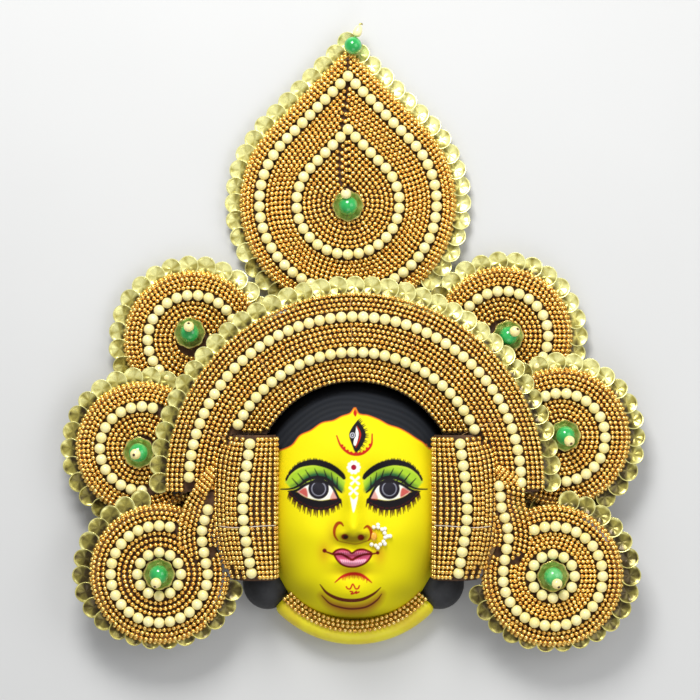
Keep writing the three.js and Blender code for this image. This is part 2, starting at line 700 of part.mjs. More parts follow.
Object.entries({ left: -1, right: 1 }).forEach(([name, side]) => {
  const clearOfFace = (geometry) => geometryOf(solidOf(geometry).subtract(faceSpace).subtract(hairSpace));
  addMesh(`ear_band_${name}`, clearOfFace(earBand(side, -EAR_THICKNESS, 0, 0.6)), cloth);
  addMesh(`ear_band_${name}_gold_beads`, clearOfFace(earBand(side, GAP, GAP + GOLD, 0)), gold);
  const column = [
    new THREE.Vector2(side * (EAR_INNER_X + EAR_PEARLS.top), EAR_TOP - EAR_PEARLS.fromEnd),
    new THREE.Vector2(side * (EAR_INNER_X + EAR_PEARLS.middle), (EAR_TOP + EAR_BOTTOM) / 2),
    new THREE.Vector2(side * (EAR_INNER_X + EAR_PEARLS.bottom), EAR_BOTTOM + EAR_PEARLS.fromEnd),
  ];
  const line = new THREE.SplineCurve(column).getPoints(30);
  const tops = (place) => {
    const x = Math.abs(place.x);
    const nearby = [-1, 0, 1].flatMap((across) => [-1, 1].map((up) => [across * PEARL / 2, up * PEARL / 2]));
    return Math.max(...nearby.map(([dx, dy]) => earTop(x + dx, Math.min(place.y + dy, EAR_TOP))));
  };
  const height = (place) => tops(place) + GOLD + 2 * GAP;
  addMesh(`ear_band_${name}_pearls`, beadString(spaced(line, PEARL, false), height, false), pearl);
});

// Nose ring lying against the cheek, and the beads at the tip of the crest

const faceMesh = new THREE.Mesh(geometryOf(face), new THREE.MeshBasicMaterial({ side: THREE.DoubleSide }));

function faceTop(x, y) {
  const down = new THREE.Raycaster(new THREE.Vector3(x, y, ABOVE), new THREE.Vector3(0, 0, -1));
  const hits = down.intersectObject(faceMesh);
  return Math.max(...hits.map((hit) => hit.point.z));
}

const ringPoints = [];
for (let i = 0; i < NOSE_RING.beads; i += 1) {
  const turn = (i / NOSE_RING.beads) * 2 * Math.PI;
  const halfStep = Math.PI / NOSE_RING.beads;
  const heights = [];
  [-halfStep, 0, halfStep].forEach((slide) => {
    [-NOSE_RING.wire, 0, NOSE_RING.wire].forEach((out) => {
      const radius = NOSE_RING.radius + out;
      const x = NOSE_RING.x + radius * Math.cos(turn + slide);
      const y = NOSE_RING.y + radius * Math.sin(turn + slide);
      heights.push(faceTop(x, y));
    });
  });
  const x = NOSE_RING.x + NOSE_RING.radius * Math.cos(turn);
  const y = NOSE_RING.y + NOSE_RING.radius * Math.sin(turn);
  ringPoints.push(new THREE.Vector3(x, y, Math.max(...heights) + GAP + NOSE_RING.wire));
}
const ringPath = new THREE.CatmullRomCurve3(ringPoints, true);
const ringTube = new THREE.TubeGeometry(ringPath, NOSE_RING.beads, NOSE_RING.wire, 4, true);
addMesh('nose_ring', geometryOf(solidOf(ringTube)), gold);

const finialHeight = CREST_BASE + BOARD + FINIAL.bead + GAP;
const finialX = crest.x + FINIAL.fromPoint[0];
const finialY = crest.y + CREST.point + FINIAL.fromPoint[1];
const finialAt = ([dx, dy]) => new THREE.Vector3(finialX + dx, finialY + dy, finialHeight);
const finialBead = new THREE.SphereGeometry(FINIAL.bead, 8, 5).translate(finialX, finialY, finialHeight);
const finialPear = new THREE.SphereGeometry(FINIAL.pear, 6, 4).scale(1, 1.5, 1);
finialPear.translate(...finialAt(FINIAL.toPear).toArray());
const wirePath = new THREE.LineCurve3(finialAt([0, 0]), finialAt(FINIAL.toWireEnd));
const wireShape = new THREE.Shape(circle(FINIAL.wire, 4));
const wire = new THREE.ExtrudeGeometry(wireShape, { steps: 1, bevelEnabled: false, extrudePath: wirePath });
const finial = solidOf(finialBead).add(solidOf(finialPear)).add(solidOf(wire));
addMesh('crest_finial_beads', geometryOf(finial), green);

// The whole mask stands over its own middle, on the floor
const box = new THREE.Box3().setFromObject(mask);
const middle = box.getCenter(new THREE.Vector3());
mask.position.set(-middle.x, -middle.y, -box.min.z);

export default mask;
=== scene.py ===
# Chhau dance mask of a three-eyed goddess, lying on its back, with its beaded headdress
# Drawn in millimetres from the centre of the crown arch, and moved into the frame in metres

import math

import bpy
import numpy as np
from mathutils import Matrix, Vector


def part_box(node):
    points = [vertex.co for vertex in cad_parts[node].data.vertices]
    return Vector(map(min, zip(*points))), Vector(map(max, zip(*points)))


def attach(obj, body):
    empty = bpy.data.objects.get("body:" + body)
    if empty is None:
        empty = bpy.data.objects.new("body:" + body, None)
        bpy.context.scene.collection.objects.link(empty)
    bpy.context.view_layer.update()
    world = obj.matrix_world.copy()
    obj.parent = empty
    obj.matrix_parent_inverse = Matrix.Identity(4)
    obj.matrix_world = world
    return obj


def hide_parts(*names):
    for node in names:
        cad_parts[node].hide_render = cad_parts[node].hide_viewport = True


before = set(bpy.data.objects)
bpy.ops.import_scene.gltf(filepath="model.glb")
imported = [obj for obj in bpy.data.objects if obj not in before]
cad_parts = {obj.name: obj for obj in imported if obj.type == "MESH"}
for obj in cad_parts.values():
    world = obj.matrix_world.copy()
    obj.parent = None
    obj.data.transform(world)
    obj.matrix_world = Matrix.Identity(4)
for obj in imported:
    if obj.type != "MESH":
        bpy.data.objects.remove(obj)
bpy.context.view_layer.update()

# Frame: the arch centre and the layer heights come from the solids

MM = 0.001
ARCH_END_Y = -6.0
gold_low, gold_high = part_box("crown_arch_gold_beads")
ORIGIN = np.array([(gold_low[0] + gold_high[0]) / 2, gold_low[1] - ARCH_END_Y * MM, 0.0])


def top_of(node):
    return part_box(node)[1][2] / MM


# Sizes in millimetres

GAP = 0.3
ROW = 3.1
BEAD = 3.1
BEAD_PITCH = 3.15
PEARL = 7.1
PEARL_PITCH = 0.985 * PEARL
PEARL_GAP = 4.9
JEWEL, JEWEL_HEIGHT, JEWEL_REACH = 6.2, 6.6, 9.0
PIN, PIN_SEAT, PIN_HOLE = 3.4, 2.6, 0.95
FINIAL = 5.7
FOIL_RADIUS = 6.8
FOIL_PITCH = 11.0
EDGE_ROW_OUT, EDGE_ROW_DOWN = 1.9, 2.1
ARCH_INNER, ARCH_OUTER = 64.5, 120.0
ARCH_LAP = 2.0
ARCH_PEARLS = (83.2, 105.8)
ARCH_EDGE_HEIGHT, ARCH_CROWN_HEIGHT, ARCH_INNER_HEIGHT = 25.4, 34.0, 29.0
EAR_INNER, EAR_WIDTH, EAR_TOP, EAR_BOTTOM = 49.9, 38.5, 30.4, -62.5
EAR_HEIGHT, EAR_LEAN, EAR_RISE, EAR_FALL = 40.0, 6.0, 12.0, 9.0
EAR_CORNERS = (10.5, 9.5)
EAR_PEARLS = ((66.1, 28.5), (71.0, -16.0), (65.3, -60.5))
EAR_MIDDLE_Y = EAR_PEARLS[1][1]
EAR_THREAD_Y = -27.5
ARCH_THREAD_TURNS = (91.5, 67.0, 52.0, 128.0, 24.0, 161.0)
NECK_CENTRE_Y, NECKLACE_RADIUS, NECKLACE_TOP = -35.5, 57.6, 22.0
NECK_RADIUS, NECK_ROLL, NECK_ROLL_HEIGHT, NECK_HALF_ANGLE = 62.0, 8.0, 10.0, 50.0
DROP_POINT = 1.43
TAIL_PATH = (
    (92.6, -5.0, 5.0), (93.2, -15.0, 4.0), (96.0, -24.0, 2.0), (98.0, -33.0, 0.5),
    (97.2, -40.0, 0.4), (95.5, -50.0, 0.4), (94.4, -56.0, 0.4),
)
STRING_OPENING = (10.0, 66.0)
SEAM = np.array([
    (-9.0, 191.0), (-10.0, 200.0), (-9.7, 218.0), (-7.8, 232.6), (-6.1, 243.8), (-5.0, 255.0), (-4.5, 276.0),
])
SEAM_HALF_WIDTH = 0.5

BOARD_FACTS = ("x", "y", "radius", "pearls", "jewel", "pin", "inner", "side")
BOARDS = {
    "crest": (-4.5, 179.3, 67.0, 57.2, (0.0, -1.9), (-1.3, 7.4), 33.2),
    "upper_lobe_left": (-104.5, 90.9, 42.0, 29.0, (-1.9, 4.6), (0.0, 4.0)),
    "upper_lobe_right": (95.5, 93.5, 42.0, 29.0, (3.2, 0.0), (3.6, 3.0)),
    "side_lobe_left": (-136.7, 21.3, 40.0, 27.0, (-2.0, -2.6), (-1.3, -0.6)),
    "side_lobe_right": (132.2, 28.4, 42.0, 28.4, (2.6, 1.3), (1.9, -3.2)),
    "roundel_left": (-125.1, -58.7, 42.0, 31.0, (0.0, 0.0), (-1.3, -4.8), 13.9, -1),
    "roundel_right": (126.4, -60.0, 42.6, 31.9, (0.0, 0.0), (1.9, -4.0), 13.9, 1),
}
BOARDS = {name: dict(zip(BOARD_FACTS, facts)) for name, facts in BOARDS.items()}
BOARDS["crest"]["drop"] = True

# Materials

VALUES = {
    "roughness": "Roughness", "metallic": "Metallic", "coat": "Coat Weight", "specular": "Specular IOR Level",
}


def finish(name, scale=0.0, tones=(), stops=(0.3, 0.7), detail=3.0, uneven=None, relief=None, **values):
    """A material whose colour is a ramp of tones over a noise, or else the paint of the mesh's points.

    Uneven is the scale of a second noise, its share in the roughness and the least roughness. Relief is the
    scale, strength and depth of a third one.
    """
    material = bpy.data.materials.new(name)
    material.use_nodes = True
    tree = material.node_tree
    shader = tree.nodes["Principled BSDF"]
    for label, value in values.items():
        shader.inputs[VALUES[label]].default_value = value
    spot = tree.nodes.new("ShaderNodeTexCoord").outputs["Object"]

    def node(kind, constants, sources):
        made = tree.nodes.new(f"ShaderNode{kind}")
        for place, value in constants.items():
            made.inputs[place].default_value = value
        for place, source in sources.items():
            tree.links.new(source, made.inputs[place])
        return made

    def noise(size, depth=3.0):
        return node("TexNoise", {"Scale": size, "Detail": depth}, {"Vector": spot}).outputs["Fac"]

    if tones:
        colour = node("ValToRGB", {}, {"Fac": noise(scale, detail)})
        elements = colour.color_ramp.elements
        while len(elements) < len(tones):
            elements.new(0.5)
        for element, position, tone in zip(elements, stops, tones):
            element.position = position
            element.color = (*tone, 1.0)
    else:
        colour = node("Attribute", {}, {})
        colour.attribute_name = "paint"
    tree.links.new(colour.outputs["Color"], shader.inputs["Base Color"])
    if uneven:
        rough = node("Math", {1: uneven[1], 2: uneven[2]}, {0: noise(uneven[0])})
        rough.operation = "MULTIPLY_ADD"
        tree.links.new(rough.outputs[0], shader.inputs["Roughness"])
    if relief:
        bumps = node("Bump", {"Strength": relief[1], "Distance": relief[2]}, {"Height": noise(relief[0])})
        tree.links.new(bumps.outputs["Normal"], shader.inputs["Normal"])
    return material


GOLD = finish(
    "gold_bead_finish", 420.0, [(0.64, 0.32, 0.06), (0.95, 0.61, 0.15), (1.0, 0.82, 0.31)], (0.3, 0.5, 0.72),
    detail=2.0, uneven=(900.0, 0.25, 0.12), roughness=0.24, metallic=0.85,
)
PEARLY = finish(
    "pearl_finish", 160.0, [(0.92, 0.78, 0.28), (1.0, 0.9, 0.47)],
    uneven=(500.0, 0.2, 0.2), roughness=0.3, coat=0.4,
)
FOIL = finish(
    "foil_finish", uneven=(300.0, 0.25, 0.14), relief=(120.0, 0.15, 0.0006), roughness=0.25, metallic=0.45,
)
FLOWER_FOIL = finish(
    "flower_foil_finish", 300.0, [(0.4, 0.33, 0.06), (0.85, 0.76, 0.24)],
    relief=(260.0, 0.3, 0.0006), roughness=0.25, metallic=0.8,
)
GREEN = finish(
    "green_bead_finish", 110.0, [(0.01, 0.3, 0.05), (0.03, 0.45, 0.1), (0.25, 0.65, 0.25)], (0.35, 0.6, 0.8),
    detail=2.0, uneven=(300.0, 0.15, 0.12), roughness=0.2, coat=0.6,
)
BACKING = finish(
    "backing_finish", 240.0, [(0.045, 0.02, 0.008), (0.13, 0.06, 0.025)],
    uneven=(600.0, 0.2, 0.7), relief=(1500.0, 0.3, 0.0004), roughness=0.85,
)
THREAD = finish(
    "metal_thread_finish", 700.0, [(0.3, 0.14, 0.05), (0.75, 0.5, 0.2)], roughness=0.4, metallic=0.5,
)
THREAD_PALE = finish("sewing_thread_finish", 800.0, [(0.6, 0.5, 0.4), (0.85, 0.8, 0.7)], roughness=0.6)

# Meshes: a shape is its points in millimetres, the corners of its faces and their lengths


def ball(segments, rings, radius):
    """The shape of one sphere, which is then removed."""
    bpy.ops.object.select_all(action="DESELECT")
    bpy.ops.mesh.primitive_uv_sphere_add(segments=segments, ring_count=rings, radius=radius)
    piece = bpy.context.object
    mesh = piece.data
    points = np.empty(len(mesh.vertices) * 3)
    mesh.vertices.foreach_get("co", points)
    corners = np.empty(len(mesh.loops), dtype=np.int32)
    mesh.loops.foreach_get("vertex_index", corners)
    lengths = np.array([len(face.vertices) for face in mesh.polygons], dtype=np.int32)
    bpy.data.objects.remove(piece)
    return points.reshape(-1, 3), corners, lengths


def add_piece(name, shape, material, node=None, smooth=True):
    """A mesh object that rides on the part, and takes a solid's place where one is named."""
    points, corners, lengths = shape
    mesh = bpy.data.meshes.new(name)
    mesh.vertices.add(len(points))
    mesh.vertices.foreach_set("co", (points * MM + ORIGIN).ravel())
    mesh.loops.add(len(corners))
    mesh.loops.foreach_set("vertex_index", corners)
    mesh.polygons.add(len(lengths))
    mesh.polygons.foreach_set("loop_start", np.concatenate([[0], np.cumsum(lengths)[:-1]]).astype(np.int32))
    mesh.polygons.foreach_set("loop_total", lengths)
    mesh.update(calc_edges=True)
    mesh.polygons.foreach_set("use_smooth", np.full(len(lengths), smooth))
    mesh.validate()
    mesh.materials.append(material)
    piece = bpy.data.objects.new(name, mesh)
    bpy.context.collection.objects.link(piece)
    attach(piece, "root")
    if node:
        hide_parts(node)
    return piece


def reshaped(shape, stretch, shift=0.0):
    points, corners, lengths = shape
    return points * stretch + shift, corners, lengths


def quad_shape(points, quads):
    return points, quads.astype(np.int32).ravel(), np.full(len(quads), 4, dtype=np.int32)


def tube(name, rings, material, ends=True, smooth=True):
    """A skin over a row of rings with equal numbers of points."""
    count, around = rings.shape[:2]
    index = np.arange(count * around).reshape(count, around)
    beside = np.roll(index, -1, axis=1)
    quads = np.stack([index[:-1], beside[:-1], beside[1:], index[1:]], axis=-1).reshape(-1, 4)
    points, corners, lengths = quad_shape(rings.reshape(-1, 3), quads)
    if ends:
        corners = np.concatenate([corners, index[0][::-1], index[-1]]).astype(np.int32)
        lengths = np.append(lengths, [around, around]).astype(np.int32)
    add_piece(name, (points, corners, lengths), material, smooth=smooth)


def copies(name, shape, places, material, node=None, turns=None, sizes=1.0):
    """One mesh of many copies of a shape, each sized, turned and moved to its place."""
    points, corners, lengths = shape
    places = np.asarray(places, dtype=float)
    count = len(places)
    body = points[None] * np.broadcast_to(sizes, count)[:, None, None]
    if turns is not None:
        body = np.einsum("nij,nkj->nki", turns, body)
    body = body + places[:, None, :]
    shift = (np.arange(count) * len(points)).astype(np.int32)
    all_corners = (corners[None] + shift[:, None]).ravel()
    return add_piece(name, (body.reshape(-1, 3), all_corners, np.tile(lengths, count)), material, node)


def paint_points(piece, colours):
    layer = piece.data.color_attributes.new("paint", "FLOAT_COLOR", "POINT")
    solid = np.column_stack([colours, np.ones(len(colours))])
    layer.data.foreach_set("color", solid.astype(np.float32).ravel())


SMALL_BEAD = ball(8, 5, BEAD / 2)
ROUND_PEARL = ball(14, 9, PEARL / 2)
BIG_BEAD = ball(32, 20, 1.0)

# Lines of points


def unit(vectors):
    return vectors / np.linalg.norm(vectors, axis=-1, keepdims=True)


def headings(angle):
    return np.stack([np.cos(angle), np.sin(angle)], axis=-1)


def circle(size, count=160):
    return headings(np.linspace(0, 2 * math.pi, count, endpoint=False)) * size


def drop(size, count=160):
    tangent = math.acos(1 / DROP_POINT)
    angle = math.pi / 2 + tangent + np.linspace(0, 1, count) * (2 * math.pi - 2 * tangent)
    return np.vstack([[0.0, size * DROP_POINT], headings(angle) * size])


def outline(board, size):
    """The board's own form at another size."""
    form = drop if board.get("drop") else circle
    return form(size) + (board["x"], board["y"])


def spaced(line, pitch, closed, offset=0.5):
    """Evenly spaced points along a line, with the direction of travel at each."""
    line = np.asarray(line, dtype=float)
    if closed:
        line = np.vstack([line, line[:1]])
        offset = 0.0
    steps = np.linalg.norm(np.diff(line, axis=0), axis=1)
    reach = np.concatenate([[0], np.cumsum(steps)])
    count = max(1, int(round(reach[-1] / pitch)))
    at = (np.arange(count) + offset) / count * reach[-1]

    def points_at(distance):
        return np.stack([np.interp(distance, reach, column) for column in line.T], axis=1)

    along = (points_at(at + 0.2) - points_at(at - 0.2))[:, :2]
    return points_at(at), along / np.maximum(np.linalg.norm(along, axis=1, keepdims=True), 1e-6)


def parallel(line, distance):
    """A line moved sideways, to the right of its travel."""
    line = np.asarray(line, dtype=float)
    along = unit(np.gradient(line[:, :2], axis=0))
    moved = line.copy()
    moved[:, 0] += along[:, 1] * distance
    moved[:, 1] -= along[:, 0] * distance
    return moved


def smooth_line(points, count=60):
    """A curve through a few points."""
    points = np.asarray(points, dtype=float)
    spans = len(points) - 1
    result = np.empty((count, points.shape[1]))
    padded = np.vstack([2 * points[0] - points[1], points, 2 * points[-1] - points[-2]])
    for i, t in enumerate(np.linspace(0, 1, count)):
        k = min(int(t * spans), spans - 1)
        u = t * spans - k
        a, b, c, d = padded[k : k + 4]
        bend, twist = 2 * a - 5 * b + 4 * c - d, 3 * b - a - 3 * c + d
        result[i] = 0.5 * (2 * b + (c - a) * u + bend * u**2 + twist * u**3)
    return result


def shown_part(line, shown):
    """The shown part of a closed line, in its order of travel."""
    start = int(np.argmax(shown & ~np.roll(shown, 1)))
    return np.roll(line, -start, axis=0)[: int(shown.sum())]


def nearest(points, others):
    """Distance in plan from each point to the nearest of the others."""
    return np.hypot(points[:, :1] - others[None, :, 0], points[:, 1:2] - others[None, :, 1]).min(axis=1)


def lifted(points, height):
    return np.column_stack([points[:, 0], points[:, 1], np.broadcast_to(height, len(points))])


def laid_on(surface, points, rise):
    return lifted(points, surface(points[:, 0], points[:, 1]) + rise)


# Arch and ear bands: their forms, and the places on a board that they leave clear


def arch_top(radius):
    radius = np.asarray(radius, dtype=float)
    middle = (ARCH_INNER + ARCH_OUTER) / 2
    inward = radius < middle
    edge = np.where(inward, ARCH_INNER, ARCH_OUTER)
    edge_height = np.where(inward, ARCH_INNER_HEIGHT, ARCH_EDGE_HEIGHT)
    return ARCH_CROWN_HEIGHT - (ARCH_CROWN_HEIGHT - edge_height) * ((radius - middle) / (edge - middle)) ** 2


def ear_width(y):
    down = (EAR_TOP - np.asarray(y)) / (EAR_TOP - EAR_BOTTOM)
    top, bottom = EAR_CORNERS
    return EAR_WIDTH - top * np.maximum(0, 1 - 2 * down) ** 5.6 - bottom * np.maximum(0, 2 * down - 1) ** 2


def ear_top(x, y):
    down = (EAR_TOP - y) / (EAR_TOP - EAR_BOTTOM)
    across = np.clip((x - EAR_INNER) / ear_width(y), 0, 1)
    crown = EAR_RISE * np.maximum(0, 1 - (2 * across - 1) ** 2) ** 0.7
    return EAR_HEIGHT - EAR_LEAN * across + crown - EAR_FALL * down**3


def on_arch(points, margin):
    x, y = np.abs(points[:, 0]), points[:, 1]
    ear_side = EAR_INNER + ear_width(np.clip(y, EAR_MIDDLE_Y, EAR_TOP)) + GAP + margin
    return (y > ARCH_END_Y + margin) & ((x > ear_side) | (y > EAR_TOP + GAP + margin))


def clear_of_arch(points, margin):
    reach = np.hypot(points[:, 0], points[:, 1])
    return (points[:, 1] < ARCH_END_Y - margin) | (reach > ARCH_OUTER - ARCH_LAP + margin)


def clear_of_ear(points, margin):
    x, y = np.abs(points[:, 0]), points[:, 1]
    side = EAR_INNER + np.where(y > EAR_MIDDLE_Y, EAR_WIDTH, ear_width(np.maximum(y, EAR_BOTTOM)))
    return (x > side + GAP + margin) | (y < EAR_BOTTOM - margin)


def clear_of_seam(points):
    """The crest's rows end at a dark seam that runs down from its point."""
    across = np.abs(points[:, 0] - np.interp(points[:, 1], SEAM[:, 1], SEAM[:, 0]))
    return (across > SEAM_HALF_WIDTH) | (points[:, 1] < SEAM[0, 1])


def in_opening(board, points, margin):
    """Places in the sector where a roundel's rows make way for those of its tail."""
    turn = np.degrees(np.arctan2(points[:, 1] - board["y"], (board["x"] - points[:, 0]) * board["side"]))
    return (turn > STRING_OPENING[0] + margin) & (turn < STRING_OPENING[1] - margin)


# Beads of the boards and the arch

random = np.random.default_rng(7)


def gold_rows(name, beads, largest=1.08):
    """Gold beads of slightly uneven size."""
    beads = np.vstack(beads)
    sizes = random.uniform(1.0, largest, len(beads))
    copies(f"{name}_gold_rows", SMALL_BEAD, beads, GOLD, f"{name}_gold_beads", sizes=sizes)


def pearls(name, places, node):
    copies(f"{name}_string", ROUND_PEARL, places, PEARLY, node)


def rows_between(low, high):
    return list(np.linspace(low, high, int(round((high - low) / ROW)) + 1))


def row_sizes(board):
    """Sizes of the gold rows of a board, between the jewel, the pearl strings and the edge."""
    inner = board.get("inner")
    rows = rows_between(inner + PEARL_GAP, board["pearls"] - PEARL_GAP) if inner else []
    size = (inner or board["pearls"]) - PEARL_GAP
    while size > JEWEL_REACH:
        rows.append(size)
        size -= ROW
    return rows + rows_between(board["pearls"] + PEARL_GAP, board["radius"] + 0.4)


def board_row(board, size):
    line = spaced(outline(board, size), 0.4, True)[0]
    shown = clear_of_seam(line) if board.get("drop") else np.ones(len(line), dtype=bool)
    whole = bool(shown.all())
    places = spaced(line if whole else shown_part(line, shown), BEAD_PITCH, whole)[0]
    kept = clear_of_arch(places, 1.4)
    if "side" in board:
        kept &= clear_of_ear(places, 1.4)
        if size > board["pearls"] - PEARL_GAP - ROW:
            kept &= ~in_opening(board, places, 9.0)
    return places[kept]


def board_beads(name, board):
    bed = top_of(f"{name}_board")
    rows = [(size, 0.0) for size in row_sizes(board)] + [(board["radius"] + EDGE_ROW_OUT, -EDGE_ROW_DOWN)]
    gold_rows(name, [lifted(board_row(board, size), bed + BEAD / 2 + 0.25 + rise) for size, rise in rows])
    strings = {"outer_pearls" if "inner" in board else "pearls": board["pearls"]}
    if "inner" in board:
        strings["inner_pearls"] = board["inner"]
    for label, size in strings.items():
        places = spaced(outline(board, size), PEARL_PITCH, True)[0]
        places = places[clear_of_arch(places, 15.0 if name.startswith("side") else 3.5)]
        if "side" in board:
            places = places[clear_of_ear(places, 1.0)]
            if label == "outer_pearls":
                places = places[~in_opening(board, places, 0.0)]
        pearls(f"{name}_{label}", lifted(places, bed + PEARL / 2 + 0.6), f"{name}_{label}")


def arch_beads():
    inner, outer = ARCH_PEARLS
    radii = [inner - PEARL_GAP - k * ROW for k in range(5)]
    radii += list(np.linspace(inner + PEARL_GAP, outer - PEARL_GAP, 5))
    radii += [outer + PEARL_GAP + k * ROW for k in range(4)]
    rows = [(radius, arch_top(radius) + BEAD / 2 + 0.3) for radius in radii]
    rows.append((ARCH_INNER + 1.0, ARCH_INNER_HEIGHT - 2.0))
    beads = []
    for radius, height in rows:
        places = spaced(circle(radius, 240), BEAD_PITCH, True)[0]
        beads.append(lifted(places[on_arch(places, 1.2)], height))
    gold_rows("crown_arch", beads)
    for label, radius in (("inner", inner), ("outer", outer)):
        places = spaced(circle(radius, 240), PEARL_PITCH, True)[0]
        places = lifted(places[on_arch(places, 2.6)], arch_top(radius) + PEARL / 2 + 0.5)
        pearls(f"crown_arch_{label}", places, f"crown_arch_{label}_pearls")


# Foil discs: shallow cups with creases running out to a milled rim


def foil_cup():
    points, corners, lengths = ball(28, 12, 1.0)
    reach = np.hypot(points[:, 0], points[:, 1])
    angle = np.arctan2(points[:, 1], points[:, 0])
    folds = 0.022 * np.cos(5 * angle) * reach * (1 - reach) * 4
    rim = 0.07 * np.exp(-(((reach - 0.95) / 0.06) ** 2))
    cup = 0.2 * reach**2 + folds + rim
    height = np.where(points[:, 2] >= 0, cup + 0.03, cup - 0.05)
    return np.column_stack([points[:, :2], height]) * FOIL_RADIUS, corners, lengths


FOIL_CUP = foil_cup()
# Lit, middle and shaded tones of the foil, mixed by the painted light of each cup
FOIL_LIT, FOIL_MIDDLE, FOIL_SHADED = np.array([(1.0, 0.96, 0.4), (0.5, 0.43, 0.09), (0.05, 0.032, 0.006)])


def cup_turns(along, tilts, spins):
    """Turns that tip each cup outwards and sideways along its row."""
    flat = np.zeros(len(along))
    run = np.column_stack([along, flat])
    out = np.column_stack([along[:, 1], -along[:, 0], flat])
    normal = unit((0.0, 0.0, 1.0) + out * np.tan(tilts[:, :1]) + run * np.tan(tilts[:, 1:]))
    first = unit(run - normal * (run * normal).sum(axis=1, keepdims=True))
    spun = first * np.cos(spins)[:, None] + np.cross(normal, first) * np.sin(spins)[:, None]
    return np.stack([spun, np.cross(normal, spun), normal], axis=2)


def foil_painted_light(places, along, turns):
    """Tones of each cup, all painted light and shade: a painted highlight on the milled rim, painted light
    and shade along the creases, painted shade on the inner side, a painted highlight on the outer side, and
    painted shade low on the mask.
    """
    points = FOIL_CUP[0] / FOIL_RADIUS
    local = np.hypot(points[:, 0], points[:, 1])[None]
    angle = np.arctan2(points[:, 1], points[:, 0])[None]
    world = np.einsum("nij,kj->nki", turns, points)
    outward = np.column_stack([along[:, 1], -along[:, 0]])
    facing = np.einsum("nkj,nj->nk", world[:, :, :2], outward)
    # Painted light: cups high on the mask or facing up are lighter, cups low on the mask get painted shade,
    # with some random tone
    height = places[:, 1] / 180
    shade = np.clip((80.0 - places[:, 1]) / 130.0, 0, 1)
    lit = 0.42 + 0.3 * outward[:, 1] + 0.4 * height - 0.12 * shade + random.normal(0, 0.13, len(places))
    lit = np.clip(lit, 0.08, 1)[:, None]
    # Painted light and shade along the creases
    phase = random.uniform(0, 6.28, (len(places), 2))
    folds = 0.26 * np.cos(3 * angle + phase[:, :1]) + 0.14 * np.cos(7 * angle + phase[:, 1:])
    value = 0.1 + 0.68 * lit + folds * (0.3 + local)
    # Painted shade on the inner side of each cup and a painted highlight on its outer side
    value -= 0.55 * np.exp(-(((facing + 0.45) / 0.3) ** 2)) * np.exp(-((local - 0.5) / 0.4) ** 2)
    value += 0.3 * np.exp(-(((facing - 0.5) / 0.3) ** 2))
    # Painted shade inside the low cups and a painted highlight on every rim
    value = np.where(local < 0.85, value * (1 - 0.65 * shade[:, None]), value)
    value = np.where(local > 0.9, np.maximum(value, 0.6 + 0.4 * lit), value)
    value = np.clip(value, 0, 1).ravel()[:, None]
    low = FOIL_SHADED + (FOIL_MIDDLE - FOIL_SHADED) * np.clip(2 * value, 0, 1)
    return low + (FOIL_LIT - FOIL_MIDDLE) * np.clip(2 * value - 1, 0, 1)


def foil_row(name, line, sunk, keep):
    node = f"{name}_foil_discs"
    places, along = spaced(line, FOIL_PITCH, True)
    kept = keep(places)
    places, along = places[kept], along[kept]
    count = len(places)
    tilts = np.column_stack([random.normal(0.1, 0.08, count), random.normal(0.22, 0.06, count)])
    turns = cup_turns(along, tilts, random.uniform(0, 6.28, count))
    places = lifted(places, top_of(node) - sunk + random.uniform(-0.2, 0.2, count))
    sizes = random.uniform(0.96, 1.03, count)
    piece = copies(f"{name}_foil_cups", FOIL_CUP, places, FOIL, node, turns=turns, sizes=sizes)
    paint_points(piece, foil_painted_light(places, along, turns))


def board_foils(name, board):
    line = outline(board, board["radius"] + 5.8)
    if "side" in board:
        round_line = circle(1)
        sideways = np.maximum(0, round_line[:, 0] * board["side"]) ** 2
        down = np.maximum(0, -round_line[:, 1]) ** 2
        reach = board["radius"] - 6.4 + 13.5 * sideways + 6 * down + 12.4 * np.maximum(0, 1 - sideways - down)
        line = round_line * reach[:, None] + (board["x"], board["y"])

    def keep(points):
        if "side" not in board:
            return clear_of_arch(points, -4.0)
        x = np.abs(points[:, 0])
        return clear_of_arch(points, 12.0) & (x > 74.0) & ((x > 106.0) | (points[:, 1] < EAR_BOTTOM - 4.0))

    foil_row(name, line, 1.6, keep)
    edge = outline(board, board["radius"])
    shown = clear_of_arch(edge, 0.6)
    if "side" in board:
        shown = clear_of_arch(edge, 12.0) & clear_of_ear(edge, 2.0)
        shown &= (np.abs(edge[:, 0]) > 100.0) | (edge[:, 1] < EAR_BOTTOM)
    ribbon(f"{name}_edge_band", shown_part(edge, shown), 4.2, 0.8, top_of(f"{name}_board") - 0.9)


def ribbon(name, line, width, thickness, top):
    """A flat strip of thread along a line."""
    corners = ((-0.5, 1), (0.5, 1), (0.5, 0), (-0.5, 0))
    rings = [lifted(parallel(line, across * width), top - down * thickness) for across, down in corners]
    tube(name, np.stack(rings, axis=1), THREAD, smooth=False)


# Jewels


def flower_cup():
    x, y = FOIL_CUP[0][:, 0], FOIL_CUP[0][:, 1]
    petals = 1 + 0.12 * np.abs(np.cos(4 * np.arctan2(y, x))) * np.hypot(x, y) / FOIL_RADIUS
    return reshaped(FOIL_CUP, np.column_stack([petals, petals, np.full(len(x), 0.7)]))


FLOWER = flower_cup()


